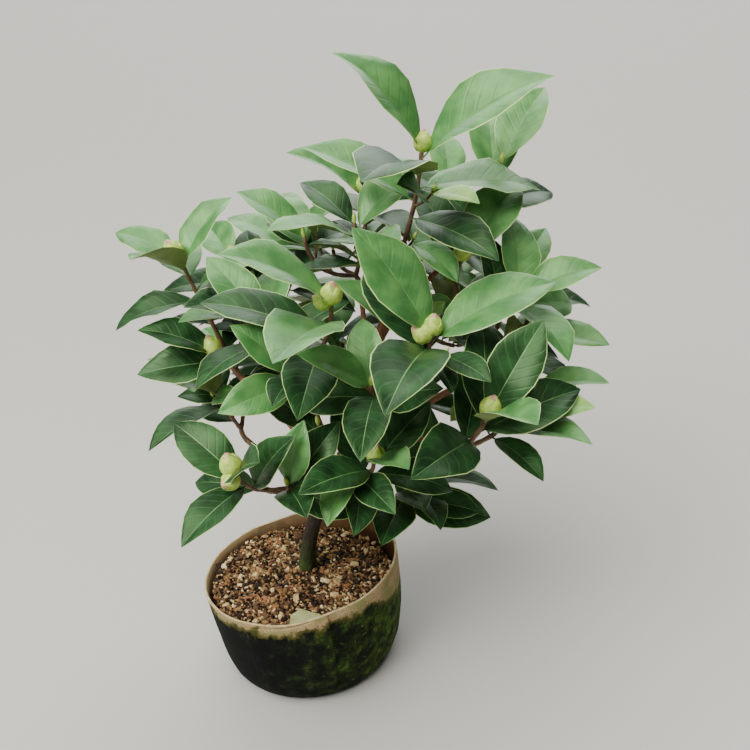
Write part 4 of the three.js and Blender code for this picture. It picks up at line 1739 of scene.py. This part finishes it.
    def lay_strip(
        self, name: str, place: Callable[[float, float], Vector], size: tuple[int, int],
        thick: float, finish: Finish,
    ) -> None:
        """Cuts a strip of cloth, lays it in place and dresses it.

        Args:
            name: The strip's name.
            place: Where a share of its length and of its height lies.
            size: How many patches it has each way.
            thick: The cloth's thickness.
            finish: Its finish.
        """
        grid_add = bpy.ops.mesh.primitive_grid_add
        strip = draft(name, grid_add, x_subdivisions=size[0], y_subdivisions=size[1], size=1)
        for vertex in strip.data.vertices:
            vertex.co = place(vertex.co.x + 0.5, vertex.co.y + 0.5)
        apply_modifier(strip, "SOLIDIFY", thickness=thick * MM, offset=0)
        apply_modifier(strip, "SUBSURF", levels=1, render_levels=1)
        strip.data.shade_smooth()
        settle(strip, "bag", ["pot"], finish)

    def build(self) -> None:
        """Makes the bag, the overlap of its cloth and the flap that is folded in."""
        bag = self.wall_piece()
        for face in bag.data.polygons:
            inner = face.center.xy.dot(face.normal.xy) < 0 and face.center.z > 20 * MM
            # Painted light: the upward-facing faces of the rim take the palest finish.
            lip = face.normal.z > 0.25 and face.center.z > 60 * MM
            face.material_index = 2 if lip else int(inner)
        bag.data.shade_smooth()
        bag.data.set_sharp_from_angle(angle=math.radians(60))
        settle(bag, "bag", ["pot"], CLOTH, CLOTH_INSIDE, CLOTH_LIP)
        self.lay_strip("bag_overlap", self.overlap, (24, 16), 1.2, CLOTH)
        self.lay_strip("bag_flap", self.flap, (14, 8), 1.0, CLOTH_FLAP)


@dataclass
class Soil:
    """The soil: a dark bed under loose chips of bark and coir."""

    bag: NurseryBag
    level: float = 82.2
    lift: float = 1.2
    tilt: float = 4.6
    radius: float = 95
    draft_radius: float = 90
    draft_height: float = 20
    rings: int = 11
    ring_width: float = 7.5
    depth: float = 18
    chips: int = 6400
    seed: int = 7
    inset: float = 2.8
    chip_size: tuple[float, float] = (1.1, 0.46)
    chip_limits: tuple[float, float] = (1.6, 12.0)
    chip_width: tuple[float, float] = (0.35, 0.8)
    chip_thick: tuple[float, float] = (0.14, 0.4)
    chip_top: float = 0.72
    chip_wear: float = 0.28
    chip_tilt: float = 0.38
    chip_rise: tuple[float, float] = (-0.3, 1.6)
    damp_mix: tuple[float, ...] = (0.42, 0.3, 0.14, 0.05, 0.06, 0.03)
    dry_mix: tuple[float, ...] = (0.14, 0.24, 0.25, 0.14, 0.17, 0.06)

    def height(self, x: float, y: float) -> float:
        """Returns the bed's height at a place, in millimetres."""
        share, lumps = math.hypot(x, y) / self.radius, noise.noise(Vector((x * 0.06, y * 0.06, 0)))
        return self.level + share * (self.lift * share - self.tilt * x / self.radius) + 1.4 * lumps

    def reach(self, turn: float) -> float:
        """Returns how far the soil reaches at a turn, inside the cloth."""
        return self.bag.rim_radius * 0.985 * self.bag.plan(turn) - self.inset

    def shift(self) -> float:
        """Returns how far the sagging bag takes the soil's top to the right."""
        return self.bag.sag * (1 - (self.level / self.bag.rim_height) ** 2)

    def lay(self, x: float, y: float, z: float) -> Vector:
        """Takes a place on a flat, round bed to where the soil lies in the bag.

        Args:
            x: The place on the flat bed, in millimetres.
            y: The place on the flat bed, in millimetres.
            z: Its height there, which tells the top from the underside.

        Returns:
            The place in metres.
        """
        grow = self.reach(math.atan2(y, x)) / self.draft_radius
        drop = 1.0 + (0 if z > self.draft_height / 2 else self.depth)
        return Vector((self.shift() + x * grow, y * grow, self.height(x, y) - drop)) * MM

    def build_bed(self) -> None:
        """Makes the bed under the chips."""
        circle_add = bpy.ops.mesh.primitive_circle_add
        bed = draft("soil_bed", circle_add, vertices=72, radius=self.draft_radius * MM, fill_type="NGON")
        open_faces()
        bpy.ops.mesh.extrude_region_move(
            TRANSFORM_OT_translate={"value": (0, 0, self.draft_height * MM)}
        )
        for _ in range(self.rings):
            bpy.ops.mesh.inset(thickness=self.ring_width * MM)
        bpy.ops.mesh.poke()
        close_faces(bed, self.lay)
        settle(bed, "soil", ["soil"], GRAINS[0])

    def drop_chip(self, work: Patchwork, draw: np.random.Generator) -> None:
        """Drops one chip on the bed.

        Args:
            work: The piece.
            draw: The source of chance.
        """
        turn = draw.uniform(0, ROUND)
        share = math.sqrt(draw.uniform(0, 1))
        x, y = polar(share * (self.reach(turn) - 0.8), turn)
        size = float(np.clip(draw.lognormal(*self.chip_size), *self.chip_limits))
        scale = size / 2 * np.array([1, draw.uniform(*self.chip_width), draw.uniform(*self.chip_thick)])
        corners = np.array([[i, j, k] for k in (-1, 1) for j in (-1, 1) for i in (-1, 1)], float)
        corners[:, :2] *= np.where(corners[:, 2:] > 0, self.chip_top, 1.0)
        corners += draw.uniform(-self.chip_wear, self.chip_wear, corners.shape)
        heading = draw.uniform(0, ROUND)
        tip, roll = draw.normal(0, self.chip_tilt), draw.normal(0, self.chip_tilt)
        spin = np.array(Euler((roll, tip, heading)).to_matrix())
        centre = np.array([self.shift() + x, y, self.height(x, y) + draw.uniform(*self.chip_rise)])
        faces = [(0, 2, 3, 1), (4, 5, 7, 6), (0, 1, 5, 4), (2, 6, 7, 3), (0, 4, 6, 2), (1, 3, 7, 5)]
        dry = 0.5 + noise.noise(Vector((x * 0.045, y * 0.045, 9)))
        shares = (1 - dry) * np.array(self.damp_mix) + dry * np.array(self.dry_mix)
        tone = int(draw.choice(len(GRAINS), p=shares / shares.sum()))
        work.add((corners * scale) @ spin.T + centre, faces, [tone] * 6)

    def build(self) -> None:
        """Makes the bed and its chips."""
        self.build_bed()
        work = Patchwork()
        draw = np.random.default_rng(self.seed)
        for _ in range(self.chips):
            self.drop_chip(work, draw)
        work.build("soil_chips", GRAINS, "soil", ["soil"])


# Studio


@dataclass
class Studio:
    """A pale floor, soft light as under a bright cloudy sky, and the camera at the viewer's height."""

    eye: Place = (0.077, -0.714, 0.654)
    pitch: float = 25.0
    lens: float = 40.4
    lit: Place = (0.06, 0.0, 0.3)
    floor_colour: str = "#b3b0aa"
    sky_colour: str = "#e8eef2"
    sky_strength: float = 0.18

    def build_light(
        self, name: str, kind: str, place: Place, size: float, power: float, colour: str
    ) -> None:
        """Hangs one soft light that faces the plant.

        Args:
            name: Its name.
            kind: An area light or a sun.
            place: Where it hangs.
            size: An area light's width, or the angle of the sky that a sun fills, in degrees.
            power: Its power in watts, or a sun's strength.
            colour: Its colour.
        """
        data = bpy.data.lights.new(name, kind)
        if kind == "SUN":
            data.angle = math.radians(size)
        else:
            data.shape = "DISK"
            data.size = size
        data.energy = power
        data.color = linear(colour)[:3]
        lamp = add_object(name, data)
        lamp.location = place
        aim = Vector(place) - Vector(self.lit)
        lamp.rotation_euler = aim.to_track_quat("Z", "Y").to_euler()

    def build(self) -> None:
        """Sets up the floor, the lights and the camera."""
        floor = draft("floor", bpy.ops.mesh.primitive_plane_add, size=200)
        floor.data.materials.append(Finish("matt_floor", self.floor_colour, 0.85).build())
        self.build_light("sky", "SUN", (-0.6, -0.6, 1.9), 60, 4.5, "#fffdf6")
        self.build_light("bright_cloud", "SUN", (0.1, 1.2, 1.4), 62, 2.9, "#fbfdff")
        self.build_light("window", "AREA", (-1.3, -1.3, 1.7), 1.2, 34, "#fbfdff")
        world = bpy.data.worlds.new("soft_sky")
        world.use_nodes = True
        background = world.node_tree.nodes["Background"]
        background.inputs["Color"].default_value = linear(self.sky_colour)
        background.inputs["Strength"].default_value = self.sky_strength
        bpy.context.scene.world = world
        data = bpy.data.cameras.new("camera")
        data.lens = self.lens
        data.sensor_width = 36
        camera = add_object("camera", data)
        camera.location = self.eye
        camera.rotation_euler = (math.radians(90 - self.pitch), 0, 0)
        bpy.context.scene.camera = camera


def main() -> None:
    """Builds the plant from the ground up, then the studio round it."""
    logging.basicConfig(level=logging.INFO, format="%(relativeCreated)d ms %(name)s: %(message)s")
    Studio().build()
    bag = NurseryBag()
    bag.build()
    Soil(bag).build()
    wood = Wood()
    wood.build()
    crown = Crown(wood)
    crown.grow()
    crown.build_leaves()
    crown.build_twigs()
    BudWork(crown).build()
    deselect()


if __name__ == "__main__":
    main()
